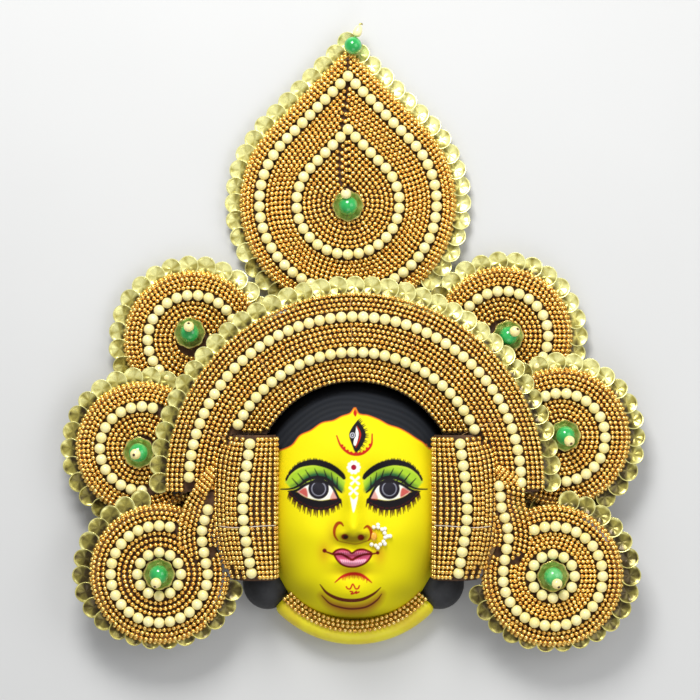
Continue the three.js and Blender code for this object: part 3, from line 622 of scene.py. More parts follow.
def jewel(name, board):
    bed = top_of(f"{name}_gold_beads")
    middle = np.array([board["x"] + board["jewel"][0], board["y"] + board["jewel"][1], bed])
    lean = np.array([*board["pin"], 5.0])
    rise = JEWEL_HEIGHT + math.sqrt(max(4.0, (JEWEL + PIN_SEAT) ** 2 - math.hypot(*board["pin"]) ** 2))
    pin = middle + (*board["pin"], rise)
    copies(f"{name}_jewel_flower", FLOWER, [middle + (0, 0, 0.6)], FLOWER_FOIL, sizes=1.36)
    bead = [middle + (0, 0, JEWEL_HEIGHT)]
    copies(f"{name}_jewel_bead", BIG_BEAD, bead, GREEN, f"{name}_jewel", sizes=JEWEL)
    copies(f"{name}_jewel_pin", BIG_BEAD, [pin], PEARLY, sizes=PIN)
    head = [pin + unit(lean) * 3.0]
    copies(f"{name}_jewel_pin_head", BIG_BEAD, head, BACKING, sizes=PIN_HOLE)


# Ear bands, tails and necklace


def ear_beads(name, side):
    column = smooth_line(EAR_PEARLS, 60)
    rows_y = np.linspace(EAR_TOP - 1.0, EAR_BOTTOM + 1.0, 60)
    width = ear_width(rows_y)
    middle = np.interp(rows_y, column[::-1, 1], column[::-1, 0]) - EAR_INNER
    start = middle + PEARL_GAP
    rows = [EAR_INNER + 1.0 + (middle - PEARL_GAP - 1.0) * k / 4 for k in range(5)]
    rows += [EAR_INNER + start + (width - start + 0.4) * k / 5 for k in range(6)]
    beads = []
    for x in rows:
        places = spaced(np.column_stack([x, rows_y]), BEAD_PITCH, False)[0]
        if beads:
            places = places[nearest(places, beads[-1]) > 0.72 * BEAD]
        beads.append(laid_on(ear_top, places, 0.4 + BEAD / 2))
    edge = spaced(np.column_stack([np.full(60, EAR_INNER - 0.2), rows_y]), BEAD_PITCH, False)[0]
    beads.append(laid_on(ear_top, edge, -1.5))
    mirror = (side, 1, 1)
    gold_rows(name, np.vstack(beads) * mirror, 1.07)
    places = laid_on(ear_top, spaced(column, PEARL_PITCH, False)[0], 0.6 + PEARL / 2)
    pearls(name, places * mirror, f"{name}_pearls")


def tail_beads(name, board):
    bed = top_of(f"{name}_gold_beads")
    side = board["side"]
    line = smooth_line([(side * x, y, z) for x, y, z in TAIL_PATH], 80)
    if side > 0:
        line = np.vstack([smooth_line([(90.4, 4.6, 6.6), (91.2, 0.4, 5.8), line[0]], 8)[:-1], line])
    else:
        line = line[line[:, 1] < -10.0]
    ring = spaced(outline(board, board["pearls"]), PEARL_PITCH, True)[0]
    ring = ring[~in_opening(board, ring, 0.0)]
    upward = line[::-1]
    upward = upward[nearest(upward, ring) > 0.97 * PEARL]
    string = spaced(upward, PEARL_PITCH, False, offset=0.0)[0] + (0, 0, bed + PEARL / 2 - 2.0)
    pearls(f"{name}_tail", string, f"{name}_tail_pearls")
    beads = []
    for k in range(4):
        out = 2.6 * k
        upper = [(side * (85.5 + out), 14.0 - 1.5 * k, 8.0), (side * (89.0 + out), 4.0, 7.0)]
        row = np.vstack([upper, parallel(line, -(PEARL_GAP + k * ROW) * side)])
        row = smooth_line(row[::8], 120)
        places = spaced(row[row[:, 1] > -50.0 + 2 * k], BEAD_PITCH, False)[0]
        radius = np.hypot(places[:, 0], places[:, 1])
        over_arch = (places[:, 1] > ARCH_END_Y - 2) & (radius > ARCH_INNER)
        height = bed + places[:, 2] - 1.6 + BEAD / 2
        arch_height = arch_top(np.clip(radius, ARCH_INNER, ARCH_OUTER)) + BEAD * 1.5 + 0.4
        beads.append(lifted(places, np.where(over_arch, np.maximum(height, arch_height), height)))
    for k in range(2):
        row = parallel(line, (PEARL_GAP + k * ROW) * side)
        places = spaced(row[row[:, 1] > -42.0], BEAD_PITCH, False)[0]
        beads.append(places + (0, 0, bed + BEAD / 2 - 1.6))
    beads = np.vstack(beads)
    copies(f"{name}_tail_rows", SMALL_BEAD, beads[clear_of_ear(beads, 0.6)], GOLD)


def neck_angles(count):
    return np.radians(-90 + NECK_HALF_ANGLE * np.linspace(-1, 1, count))


def necklace_beads():
    beads = []
    for k in range(3):
        line = headings(neck_angles(80)) * (NECKLACE_RADIUS + 2.8 * (k - 1)) + (0, NECK_CENTRE_Y)
        beads.append(lifted(spaced(line, BEAD_PITCH, False)[0], NECKLACE_TOP - BEAD / 2 - 0.8 * k))
    copies("necklace_rows", SMALL_BEAD, np.vstack(beads), GOLD, "necklace_gold_beads")


arch_beads()
foil_row("crown_arch", circle(ARCH_OUTER + 5.2, 240), 1.4, lambda points: points[:, 1] > ARCH_END_Y + 4)
for board_name, board_facts in BOARDS.items():
    board_beads(board_name, board_facts)
    board_foils(board_name, board_facts)
    jewel(board_name, board_facts)
    if "side" in board_facts:
        tail_beads(board_name, board_facts)
ear_beads("ear_band_left", -1)
ear_beads("ear_band_right", 1)
necklace_beads()

# Form of the face: the same oval and features as the solid

FACE_RIM, FACE_DOWN, FACE_DEPTH, FACE_WALL = 63.8, 90.0, 50.0, 4.5
FACE_CENTRE = np.array([-1.0, -28.0])
NOSE_X, NOSE_TIP_Y, NOSE_WING_Y, NOSE_HEIGHT = -1.0, -30.0, -34.5, 13.0
LIPS_X, LIPS_Y, CHIN_Y = -1.6, -48.5, -74.0
PAINT_STEP = 0.43
FINE_SHARE = 0.76
EYE_AXIS = -0.6
IMAGE_CENTRE = (-3.2, 84.5)
FACE_PULL = 0.983
RIM_ANGLES = np.linspace(-math.pi, math.pi, 1440)


def half_width(y, grow=0.0):
    rim = FACE_RIM + grow
    y = np.asarray(y, dtype=float)
    upper = np.sqrt(np.maximum(0, rim**2 - np.maximum(y, 0) ** 2))
    lower = rim * np.maximum(0, 1 - (np.maximum(-y, 0) / (FACE_DOWN + grow)) ** 2.4) ** (1 / 2.4)
    return np.where(y >= 0, upper, lower)


def rim_distance(ways, grow=0.0):
    """Distance from the face's centre to its outline each way, by halving."""
    near = np.zeros(len(ways))
    far = np.full(len(ways), 200.0)
    low, high = -(FACE_DOWN + grow), FACE_RIM + grow
    for _ in range(30):
        middle = (near + far) / 2
        x, y = (FACE_CENTRE + ways * middle[:, None]).T
        inside = (np.abs(x) <= half_width(y, grow)) & (y > low) & (y < high)
        near = np.where(inside, middle, near)
        far = np.where(inside, far, middle)
    return near


def pulled(x, y):
    """The face stands high, so what is on it is drawn nearer to the middle of the view."""
    middle_x, middle_y = IMAGE_CENTRE
    return middle_x + (x - middle_x) / FACE_PULL, middle_y + (y - middle_y) / FACE_PULL


def bump(x, y, cx, cy, wide, tall):
    return np.exp(-(((x - cx) / wide) ** 2) - ((y - cy) / tall) ** 2)


def features(x, y):
    """Rise of brow, nose, lips, chin, cheeks and eyes over the oval, each bump by height, place and size."""
    bumps = [
        (3.5, 0, 24, 30, 18), (NOSE_HEIGHT, NOSE_X, NOSE_TIP_Y, 7.0, 8.0),
        (0.5 * NOSE_HEIGHT, NOSE_X, NOSE_TIP_Y + 17, 6, 13), (5.5, LIPS_X, LIPS_Y - 3.4, 9, 3.0),
        (-2.5, LIPS_X, LIPS_Y - 11, 12, 4), (5.5, LIPS_X, CHIN_Y, 13, 9),
    ]
    for side in (-1, 1):
        bumps += [
            (4.5, NOSE_X + side * 8, NOSE_WING_Y, 4.2, 4), (-1.8, NOSE_X + side * 5.1, -36.6, 1.9, 1.5),
            (3, side * 27, -33, 13, 12), (-3.5, side * 14, 2, 8, 7), (2.6, EYE_AXIS + side * 22.6, -6, 11, 7),
            (4.6, LIPS_X + side * 4.5, LIPS_Y + 3.0, 5.5, 2.4),
        ]
    x, y = pulled(x, y)
    return sum(rise * bump(x, y, *form) for rise, *form in bumps)


def nose_hollow(x, y):
    return 0.5 * NOSE_HEIGHT * bump(x, y, NOSE_X, NOSE_TIP_Y + 3, 7, 11)


def face_height(x, y, grow=0.0, depth=FACE_DEPTH, detail=features):
    dx, dy = x - FACE_CENTRE[0], y - FACE_CENTRE[1]
    rim = np.interp(np.arctan2(dy, dx), RIM_ANGLES, rim_distance(headings(RIM_ANGLES), grow))
    share = np.minimum(np.hypot(dx, dy) / rim, 1.0)
    return depth * (1 - share**3) ** (1 / 2.2) + detail(x, y) * (1 - share**6)


# Painting: every stroke is laid over the colours of the skin's points

HAIRLINE = [
    (-52, 17.5), (-49.5, 18.9), (-45.1, 20.5), (-40.3, 23.2), (-35.5, 29.1), (-28.5, 32.4), (-21.5, 37.2),
    (-14.0, 38.8), (-8.6, 41.5), (-3.2, 43.4), (0.0, 46.9), (2.7, 43.1), (8.6, 42.0), (15.6, 39.3),
    (21.5, 36.1), (27.9, 34.0), (33.3, 31.3), (39.8, 27.0), (44.1, 24.3), (47.3, 21.1), (52, 18.5),
]
PEAK_DROP = [(0.0, 46.7), (1.3, 43.6), (0.3, 41.3), (-1.1, 43.6)]
THIRD_EYE = [
    (1.8, 39.3), (4.8, 35.6), (7.0, 30.2), (5.4, 24.3), (0.8, 18.4), (-1.9, 23.2), (-3.8, 29.7), (-1.9, 34.5),
]
THIRD_WHITE = [(0.9, 35.0), (2.3, 30.2), (0.6, 23.2), (-0.9, 24.3), (0.2, 29.7)]
THIRD_RED = [(1.3, 35.3), (3.2, 31.3), (3.0, 27.5), (0.6, 21.9)]
CRESCENT = [(-11.8, 29.1), (-9.1, 22.7), (-4.3, 18.4), (0.8, 17.2), (5.9, 18.4), (10.5, 23.2), (11.1, 30.2)]
BROW = [
    (44.0, 0.1), (41.3, 4.9), (36.0, 9.5), (29.5, 11.6), (24.1, 11.9), (17.7, 10.3), (12.3, 7.6), (8.0, 4.1),
    (6.5, 2.1),
]
BROW_WIDTHS = [0.6, 1.7, 2.9, 3.7, 4.1, 4.1, 3.9, 3.4, 2.4]
LID_TOP = [(44.3, -1.0), (40.3, 4.9), (33.8, 8.7), (25.2, 10.1), (17.7, 9.2), (11.2, 5.5), (6.1, -0.4)]
LID_LINE = [
    (47.4, -5.6), (40.3, -5.1), (34.9, -2.6), (30.6, 0.6), (24.7, 2.4), (18.8, 1.7), (13.9, -1.5),
    (10.7, -4.9), (8.0, -7.2),
]
EYE_LINE = [
    (42.6, -6.9), (37.0, -6.0), (31.7, -2.6), (26.8, -0.6), (22.0, -0.1), (16.6, -1.5), (13.2, -4.9),
    (8.9, -13.3),
]
EYE_WHITE = [
    (36.5, -6.9), (31.7, -3.1), (26.8, -1.3), (18.8, -1.0), (13.9, -4.7), (10.2, -10.3), (15.5, -11.4),
    (22.0, -12.3), (29.5, -10.8), (33.8, -8.8),
]
RED_OUTER = [(36.5, -6.9), (31.1, -4.3), (29.9, -10.3), (33.8, -8.6)]
RED_INNER = [(13.6, -6.0), (9.7, -10.5), (15.4, -11.6)]
KOHL = [
    (41.9, -6.9), (36.5, -7.1), (33.8, -9.0), (29.5, -11.0), (22.0, -12.5), (15.5, -11.7), (9.3, -10.8),
    (8.2, -13.3), (13.4, -16.3), (19.8, -18.2), (27.4, -17.6), (34.9, -14.4), (39.7, -10.3),
]
KOHL_EDGE = [(42.0, -8.0)] + KOHL[:6:-1]
WING_LEFT = [(-7.5, -28.4), (-9.1, -26.8), (-11.3, -27.3), (-13.1, -30.5), (-13.1, -34.8), (-11.0, -38.1)]
WING_RIGHT = [(5.9, -30.0), (8.1, -28.9), (10.2, -31.6), (10.5, -35.4), (8.6, -38.1)]
NOSE_UNDER = [
    (-9.5, -33.8), (-5.4, -32.9), (-1.1, -34.3), (3.2, -32.9), (8.2, -33.8), (7.0, -38.1), (1.1, -40.2),
    (-4.3, -39.9), (-8.6, -38.1),
]
LIPS = [
    (-14.0, -46.4), (-11.8, -44.5), (-8.1, -43.6), (-4.3, -44.5), (-1.9, -46.1), (1.1, -44.3), (4.8, -43.8),
    (8.6, -45.0), (10.8, -46.9), (8.1, -51.5), (3.2, -54.5), (-2.2, -55.4), (-7.5, -54.2), (-11.3, -51.0),
]
MOUTH = [
    (-20.1, -45.0), (-16.7, -46.2), (-13.4, -47.2), (-8.6, -46.9), (-4.3, -49.3), (-1.8, -50.4), (1.1, -49.0),
    (5.4, -47.2), (10.8, -46.9), (14.5, -46.4),
]
CHIN_ARC = [
    (-12.9, -65.5), (-8.6, -61.9), (-4.3, -60.3), (0.0, -59.9), (4.3, -60.8), (8.1, -63.3), (10.8, -65.7),
]
CHIN_CURLS = [
    [(-5.6, -68.2), (-4.7, -69.4), (-3.0, -69.4), (-1.4, -66.5), (0.4, -69.4), (2.1, -69.2), (2.8, -67.6)],
    [(-3.0, -71.2), (-1.5, -71.6), (-2.4, -72.9), (-0.6, -72.5), (0.9, -71.2), (0.6, -72.5), (2.6, -71.6)],
]
FOLD = [
    (-22.6, -67.1), (-18.3, -72.5), (-11.8, -76.0), (-4.3, -77.4), (4.3, -76.8), (11.8, -73.3), (16.7, -69.0),
]
FOLD_LOW = [
    (-21.5, -74.6), (-16.1, -80.0), (-8.6, -82.7), (-1.1, -83.5), (7.5, -82.1), (14.0, -77.8), (17.2, -73.5),
]
LIP_LIGHT = [(-10, -50), (-2, -51.5), (6, -50), (7, -51.5), (2.8, -53.8), (-2.2, -54.6), (-7, -53.5)]
NOSE_MARK = [(-3.2, -9.4), (-0.9, -11.6), (1.6, -9.4), (1.4, -12.5), (-0.9, -19.8), (-2.6, -13.0)]
BROW_DOT = (-0.8, 8.9)

# The second and third colours here are painted shade on the yellow paint
YELLOW, DEEP_YELLOW_SHADE, OLIVE_SHADE = (0.82, 0.72, 0.006), (0.75, 0.5, 0.005), (0.42, 0.36, 0.01)
HAIR, INK, WHITE = (0.016, 0.018, 0.022), (0.012, 0.01, 0.012), (0.95, 0.93, 0.82)
RED, DARK_RED, ORANGE = (0.52, 0.02, 0.01), (0.16, 0.008, 0.006), (0.75, 0.17, 0.02)
LEAF, DEEP_GREEN = (0.36, 0.58, 0.03), (0.02, 0.1, 0.035)
PINK, LIGHT_PINK = (0.62, 0.09, 0.18), (0.8, 0.26, 0.4)
WING_RED, FOLD_BROWN = (0.36, 0.05, 0.006), (0.13, 0.02, 0.006)
SHADOW, WARM_SHADOW, FOLD_SHADOW = (0.5, 0.25, 0.01), (0.6, 0.2, 0.01), (0.42, 0.2, 0.01)
NOSE_SHADOW, NOSE_LINE = (0.3, 0.22, 0.01), (0.25, 0.1, 0.01)
LID_EDGE, LID_BAND, LASH = (0.55, 0.7, 0.05), (0.5, 0.66, 0.04), (0.06, 0.01, 0.008)
IRIS, IRIS_RING, PUPIL, GLINT = (0.02, 0.016, 0.026), (0.3, 0.3, 0.36), (0.02, 0.018, 0.025), (0.6, 0.6, 0.65)
LIP_LOW_LINE, LIP_TOP_LINE = (0.95, 0.7, 0.78), (0.88, 0.4, 0.55)
HAIR_STREAK, DOT_RED = (0.035, 0.038, 0.045), (0.35, 0.01, 0.03)

FACE_PAINT = finish(
    "face_paint", uneven=(60.0, 0.2, 0.5), relief=(140.0, 0.12, 0.0006), roughness=0.5, specular=0.06,
)
YELLOW_PAPER = finish(
    "yellow_papier_mache", 70.0, [(0.7, 0.5, 0.01), YELLOW], (0.3, 0.6),
    uneven=(200.0, 0.2, 0.4), relief=(300.0, 0.25, 0.0008), roughness=0.5, coat=0.2,
)
BLACK_PAINT = finish(
    "black_paint", 90.0, [(0.008, 0.008, 0.01), (0.025, 0.026, 0.03)],
    relief=(250.0, 0.4, 0.0012), roughness=0.55,
)
RAW_PAPER = finish(
    "raw_papier_mache", 45.0, [(0.32, 0.25, 0.16), (0.5, 0.42, 0.3)], (0.35, 0.65),
    relief=(160.0, 0.5, 0.0015), roughness=0.9,
)
WHITE_PAINT = finish("white_paint", 200.0, [(0.9, 0.87, 0.75), (1.0, 0.98, 0.9)], roughness=0.4)
ORANGE_PAINT = finish("orange_paint", 200.0, [(0.75, 0.3, 0.02), (0.9, 0.5, 0.05)], roughness=0.4)


class Canvas:
    """Colours at the points of a skin, painted over with soft-edged strokes."""

    def __init__(self, x, y, base):
        self.x = x
        self.y = y
        self.colours = np.tile(np.asarray(base, dtype=float), (len(x), 1))

    def lay(self, cover, colour, where=slice(None)):
        cover = np.clip(cover, 0, 1)[:, None]
        self.colours[where] = self.colours[where] * (1 - cover) + np.asarray(colour) * cover

    def near(self, points, margin):
        low, high = np.min(points, axis=0) - margin, np.max(points, axis=0) + margin
        return np.nonzero((self.x > low[0]) & (self.x < high[0]) & (self.y > low[1]) & (self.y < high[1]))[0]

    def distance(self, line, widths, where):
        """Distance to a line less half its width there."""
        x, y = self.x[where], self.y[where]
        result = np.full(len(x), 1e9)
        for (ax, ay), (bx, by), start, end in zip(line, line[1:], widths, widths[1:]):
            run = (bx - ax) ** 2 + (by - ay) ** 2 + 1e-9
            share = np.clip(((x - ax) * (bx - ax) + (y - ay) * (by - ay)) / run, 0, 1)
            gap = np.hypot(x - ax - share * (bx - ax), y - ay - share * (by - ay))
            result = np.minimum(result, gap - 0.5 * (start + share * (end - start)))
        return result

    def stroke(self, line, width, colour, soft=0.22, curved=True):
        widths = np.broadcast_to(np.asarray(width, dtype=float), len(line))
        if curved:
            fine = smooth_line(np.column_stack([line, widths]), 8 * len(line))
            line, widths = fine[:, :2], np.maximum(fine[:, 2], 0.05)
        where = self.near(line, float(np.max(widths)) + 1)
        self.lay((soft - self.distance(line, widths, where)) / (2 * soft), colour, where)

    def inside(self, outline, where):
        x, y = self.x[where], self.y[where]
        result = np.zeros(len(x), dtype=bool)
        for (ax, ay), (bx, by) in zip(outline, np.roll(outline, -1, axis=0)):
            crosses = (ay > y) != (by > y)
            result ^= crosses & (x < (bx - ax) * (y - ay) / (by - ay + 1e-12) + ax)
        return result

    def fill(self, outline, colour, soft=0.22, strength=1.0):
        closed = np.vstack([outline, outline[:1]])
        fine = smooth_line(closed, 6 * len(closed))
        where = self.near(fine, soft + 1)
        edge = self.distance(fine, np.zeros(len(fine)), where)
        signed = np.where(self.inside(fine[:-1], where), -edge, edge)
        self.lay(strength * np.clip((soft - signed) / (2 * soft), 0, 1), colour, where)

    def dot(self, centre, radius, colour, tall=1.0, soft=0.22):
        centre = np.asarray(centre)
        reach = radius * max(1, tall)
        where = self.near([centre - reach, centre + reach], 1)
        gap = np.hypot(self.x[where] - centre[0], (self.y[where] - centre[1]) / tall) - radius
        self.lay((soft - gap) / (2 * soft), colour, where)

    # Painted shade: a soft blot of a darker colour laid over the paint
    def soft_shade(self, x, y, wide, tall, colour, strength):
        self.lay(strength * bump(self.x, self.y, x, y, wide, tall), colour)


def along_line(line, count):
    """Evenly picked points along a curve, with the direction of travel at each."""
    places, along = spaced(smooth_line(line, 80), 1.0, False)
    picks = np.linspace(0, len(places) - 1, count).astype(int)
    return zip(places[picks], along[picks])


def paint_eye(canvas, side):
    def place(points):
        points = np.asarray(points, dtype=float)
        return np.column_stack([EYE_AXIS + side * points[:, 0], points[:, 1]])

    def spokes(upper, lower, first, last, share, widths):
        """Seven ink strokes that run down to the lower line."""
        upper, lower = smooth_line(upper, 60), smooth_line(lower, 60)
        for k in (np.linspace(first, last, 7) * 59).astype(int):
            line = place([lower[k] + (upper[k] - lower[k]) * share, lower[k]])
            canvas.stroke(line, widths, INK, curved=False)

    canvas.fill(place(LID_TOP + LID_LINE[:0:-1]), LEAF, soft=0.5)
    shaded = place(LID_LINE[1:]) + [0, 1.6]
    canvas.stroke(shaded, [0.5, 2.0, 3.4, 4.0, 4.2, 4.2, 4.0, 2.5], DEEP_GREEN, soft=1.6)
    canvas.stroke(place(LID_TOP), [0.5, 1.2, 1.4, 1.4, 1.4, 1.4, 1.0], LID_EDGE, soft=0.8)
    spokes(LID_TOP, LID_LINE[1:], 0.12, 0.86, 0.725, [0.5, 1.2])
    canvas.fill(place(LID_LINE[1:-1] + EYE_LINE[-2:0:-1]), LID_BAND, soft=0.3)
    spokes(LID_LINE[1:-1], EYE_LINE[1:-1], 0.15, 0.9, 1.0, [0.9, 0.7])
    canvas.fill(place(KOHL), INK)
    canvas.fill(place(EYE_WHITE), WHITE)
    canvas.fill(place(RED_OUTER), RED, soft=0.5, strength=0.9)
    canvas.fill(place(RED_INNER), RED, soft=0.5, strength=0.65)
    iris = place([(22.8, -4.9)])[0]
    canvas.dot(iris, 6.7, INK)
    canvas.dot(iris, 6.0, IRIS, soft=0.8)
    canvas.dot(iris, 4.7, IRIS_RING, soft=0.18)
    canvas.dot(iris, 4.2, PUPIL, soft=0.18)
    canvas.stroke(place(EYE_LINE), [0.8, 1.7, 1.9, 2.0, 2.1, 2.0, 1.8, 1.5], INK)
    canvas.stroke(place(LID_LINE), [0.8, 1.3, 1.8, 2.2, 2.3, 2.2, 2.0, 1.6, 1.0], INK)
    for k, ((x, y), _) in enumerate(along_line(KOHL_EDGE, 28)):
        length = 2.9 + 2.4 * math.sin(math.pi * (k + 2) / 31) * (0.7 + 0.3 * math.cos(2.4 * k))
        lean = 0.9 - 1.5 * k / 27
        end = (x + 0.42 * lean * length, y - length)
        line = place([(x, y + 0.6), ((x + end[0]) / 2 + 0.25 * lean, (y + end[1]) / 2), end])
        canvas.stroke(line, [1.3, 0.85, 0.35], LASH, soft=0.2)
    canvas.stroke(place(KOHL_EDGE), 1.0, INK)
    canvas.stroke(place(BROW), BROW_WIDTHS, INK)
    for k, ((x, y), _) in enumerate(along_line(BROW, 34)):
        rise = 0.5 * np.interp(k / 33, np.linspace(0, 1, len(BROW_WIDTHS)), BROW_WIDTHS) + 0.7
        canvas.stroke(place([(x, y), (x + 0.5, y + rise)]), [1.3, 0.4], INK, soft=0.2, curved=False)


def paint_third_eye(canvas):
    canvas.fill(THIRD_EYE, INK)
    canvas.fill(THIRD_WHITE, WHITE)
    canvas.stroke(THIRD_RED, [0.3, 0.9, 0.9, 0.4], RED)
    canvas.dot((-1.5, 29.5), 2.2, INK)
    for radius, colour in ((1.7, GLINT), (1.2, INK), (0.5, GLINT)):
        canvas.dot((-1.6, 29.5), radius, colour, soft=0.18)
    for (x, y), (ax, ay) in along_line(THIRD_EYE[:5], 17):
        canvas.stroke([(x, y), (x - 2.0 * ay, y + 2.0 * ax)], [0.8, 0.3], INK, soft=0.2, curved=False)
    canvas.stroke(CRESCENT, [0.9, 1.4, 1.8, 2.0, 1.8, 1.4, 0.9], RED)
    for (x, y), (ax, ay) in along_line(CRESCENT[1:6], 9):
        canvas.dot((x - 0.75 * ay, y + 0.75 * ax), 0.85, RED)


def paint_mouth(canvas):
    canvas.fill(LIPS, PINK)
    canvas.fill(LIP_LIGHT, LIGHT_PINK, 0.5)
    for k in range(13):
        x = -9.0 + 1.3 * k
        slant = (x + 1.8) * 0.12
        canvas.stroke([(x, -50.6), (x - slant, -52.9)], [0.5, 0.2], LIP_LOW_LINE, 0.18, curved=False)
        canvas.stroke([(x, -46.8), (x + slant, -45.2)], [0.4, 0.15], LIP_TOP_LINE, 0.18, curved=False)
    canvas.stroke(LIPS + LIPS[:1], 1.3, DARK_RED)
    canvas.stroke(MOUTH, [0.9, 1.2, 1.5, 1.5, 1.7, 1.6, 1.7, 1.5, 1.3, 0.9], DARK_RED)
    canvas.dot((-19.6, -44.8), 1.4, DARK_RED)
    canvas.dot((14.6, -46.2), 1.2, DARK_RED)


def paint_nose(canvas):
    canvas.fill(NOSE_UNDER, NOSE_SHADOW, soft=1.6, strength=0.95)
    under = WING_LEFT[4:] + [(-4.3, -39.8), (1.1, -40.4), (7.0, -38.6), WING_RIGHT[-1]]
    canvas.stroke(under, 0.6, NOSE_LINE, 0.4)
    canvas.dot((-6.5, -35.4), 2.3, DARK_RED, tall=0.85, soft=0.4)
    canvas.dot((-6.0, -35.6), 1.5, INK, tall=0.8, soft=0.4)
    canvas.dot((3.8, -35.9), 2.2, DARK_RED, tall=0.95, soft=0.4)
    canvas.stroke(WING_LEFT, [0.9, 1.8, 2.2, 2.0, 1.5, 0.8], WING_RED)
    canvas.stroke(WING_RIGHT, [0.9, 1.8, 2.1, 1.8, 0.8], WING_RED)


def paint_chin(canvas):
    canvas.stroke(FOLD_LOW, [3, 6, 8, 8, 8, 6, 3], FOLD_SHADOW, soft=2.5)
    canvas.stroke(CHIN_ARC, [0.7, 1.5, 2.0, 2.1, 2.0, 1.5, 0.7], RED)
    for k, ((x, y), _) in enumerate(along_line(CHIN_ARC[1:6], 17)):
        canvas.stroke([(x, y), (x, y - 2.2 - 0.5 * (k % 3))], [0.9, 0.3], RED, 0.2, curved=False)
    for curl in CHIN_CURLS:
        canvas.stroke(curl, 1.0, RED, 0.2)
    canvas.stroke(FOLD, [0.6, 1.8, 2.4, 2.5, 2.4, 1.7, 0.6], FOLD_BROWN)
    canvas.stroke(FOLD_LOW, [0.6, 1.1, 1.4, 1.5, 1.4, 1.1, 0.6], FOLD_BROWN)


def paint_forehead(canvas):
    line = smooth_line(HAIRLINE, 160)
    above = canvas.y - np.interp(canvas.x, line[:, 0], line[:, 1])
    canvas.lay((above + 0.25) / 0.5, HAIR)
    streak = 0.5 + 0.5 * np.sin(1.9 * np.hypot(canvas.x, canvas.y + 10) + 2 * np.sin(canvas.x / 9))
    canvas.lay(np.where(above > 1, 0.35 * streak, 0), HAIR_STREAK)
    canvas.stroke(HAIRLINE, 0.8, ORANGE, 0.25)
    canvas.fill(PEAK_DROP, RED)
    canvas.dot(BROW_DOT, 3.4, WHITE)
    for petal in circle(3.4, 10) + BROW_DOT:
        canvas.dot(petal, 1.1, WHITE)
    canvas.dot(BROW_DOT, 1.8, DOT_RED)
    for x, y in ((0.0, 0.4), (-0.9, -6.1)):
        for dx, dy in ((-2.3, 2.0), (2.3, 2.0), (-2.3, -2.0), (2.3, -2.0)):
            canvas.stroke([(x, y), (x + dx, y + dy)], [0.8, 1.7], WHITE, curved=False)
    canvas.fill(NOSE_MARK, WHITE)


def paint_face(x, y):
    canvas = Canvas(*pulled(x, y), YELLOW)
    # Painted shade: olive shade at the jaw and below the chin, deep yellow shade down the sides of the face,
    # and shade beside the nose wings, under the lower lip and at the mouth corners
    for side in (-1, 1):
        canvas.soft_shade(side * 47, -56, 11, 24, OLIVE_SHADE, 0.75)
        canvas.soft_shade(side * 50, -10, 5, 40, DEEP_YELLOW_SHADE, 0.55)
        canvas.soft_shade(side * 34, -74, 14, 9, OLIVE_SHADE, 0.6)
        canvas.soft_shade(side * 13 - 1, -34, 4, 8, SHADOW, 0.45)
    canvas.soft_shade(LIPS_X, -58.5, 12, 2.6, SHADOW, 0.6)
    canvas.soft_shade(-20, -46, 4, 7, WARM_SHADOW, 0.5)
    canvas.soft_shade(16, -47, 4, 7, WARM_SHADOW, 0.5)
    canvas.soft_shade(0, -89, 36, 6, OLIVE_SHADE, 0.9)
    paint_forehead(canvas)
    paint_third_eye(canvas)
    for side in (-1, 1):
        paint_eye(canvas, side)
    paint_nose(canvas)
    paint_mouth(canvas)
    paint_chin(canvas)
    return canvas.colours


# Papier-mache: face, neck and side hair


def face_sheet(name, rows, columns, material, node=None, grow=0.0, flip=False, **form):
    """A skin over the oval of the face, which comes down to the ground all round."""
    x, y = np.outer(half_width(rows, grow), columns), np.repeat(rows[:, None], len(columns), axis=1)
    z = face_height(x, y, grow, **form)
    z[:, 0] = z[:, -1] = 0.0
    z[0] = z[-1] = 0.0
    points = np.column_stack([x.ravel(), y.ravel(), z.ravel()])
    index = np.arange(x.size).reshape(x.shape)
    quads = np.stack([index[:-1, :-1], index[:-1, 1:], index[1:, 1:], index[1:, :-1]], axis=-1).reshape(-1, 4)
    shape = quad_shape(points, quads[:, ::-1] if flip else quads)
    return add_piece(name, shape, material, node)


def face_skin():
    fine = np.linspace(-FINE_SHARE, FINE_SHARE, int(2 * FINE_SHARE * FACE_RIM / PAINT_STEP))
    side = FINE_SHARE + (1 - FINE_SHARE) * (1 - (1 - np.linspace(0, 1, 15)[1:]) ** 1.6)
    columns = np.concatenate([-side[::-1], fine, side])
    lower, upper = np.arange(-FACE_DOWN + 0.15, 47.0, PAINT_STEP), np.linspace(47.5, FACE_RIM - 0.1, 22)
    rows = np.concatenate([lower, upper])
    piece = face_sheet("face_skin", rows, columns, FACE_PAINT, "face_mask")
    x, y = np.outer(half_width(rows), columns), np.repeat(rows[:, None], len(columns), axis=1)
    paint_points(piece, paint_face(x.ravel(), y.ravel()))


def face_back():
    rows = np.linspace(-(FACE_DOWN - FACE_WALL) + 0.1, FACE_RIM - FACE_WALL - 0.1, 60)
    columns = np.sin(np.linspace(-math.pi / 2, math.pi / 2, 44))
    form = {"grow": -FACE_WALL, "depth": FACE_DEPTH - FACE_WALL - 2, "detail": nose_hollow}
    face_sheet("face_back", rows, columns, RAW_PAPER, flip=True, **form)
    ring = circle(1, 120)
    edges = [FACE_CENTRE + ring * rim_distance(ring, grow)[:, None] for grow in (0.0, -FACE_WALL)]
    index = np.arange(120)
    after = (index + 1) % 120
    quads = np.column_stack([index, index + 120, after + 120, after])
    shape = quad_shape(lifted(np.vstack(edges), 0.02), quads)
    add_piece("face_rim", shape, RAW_PAPER, smooth=False)


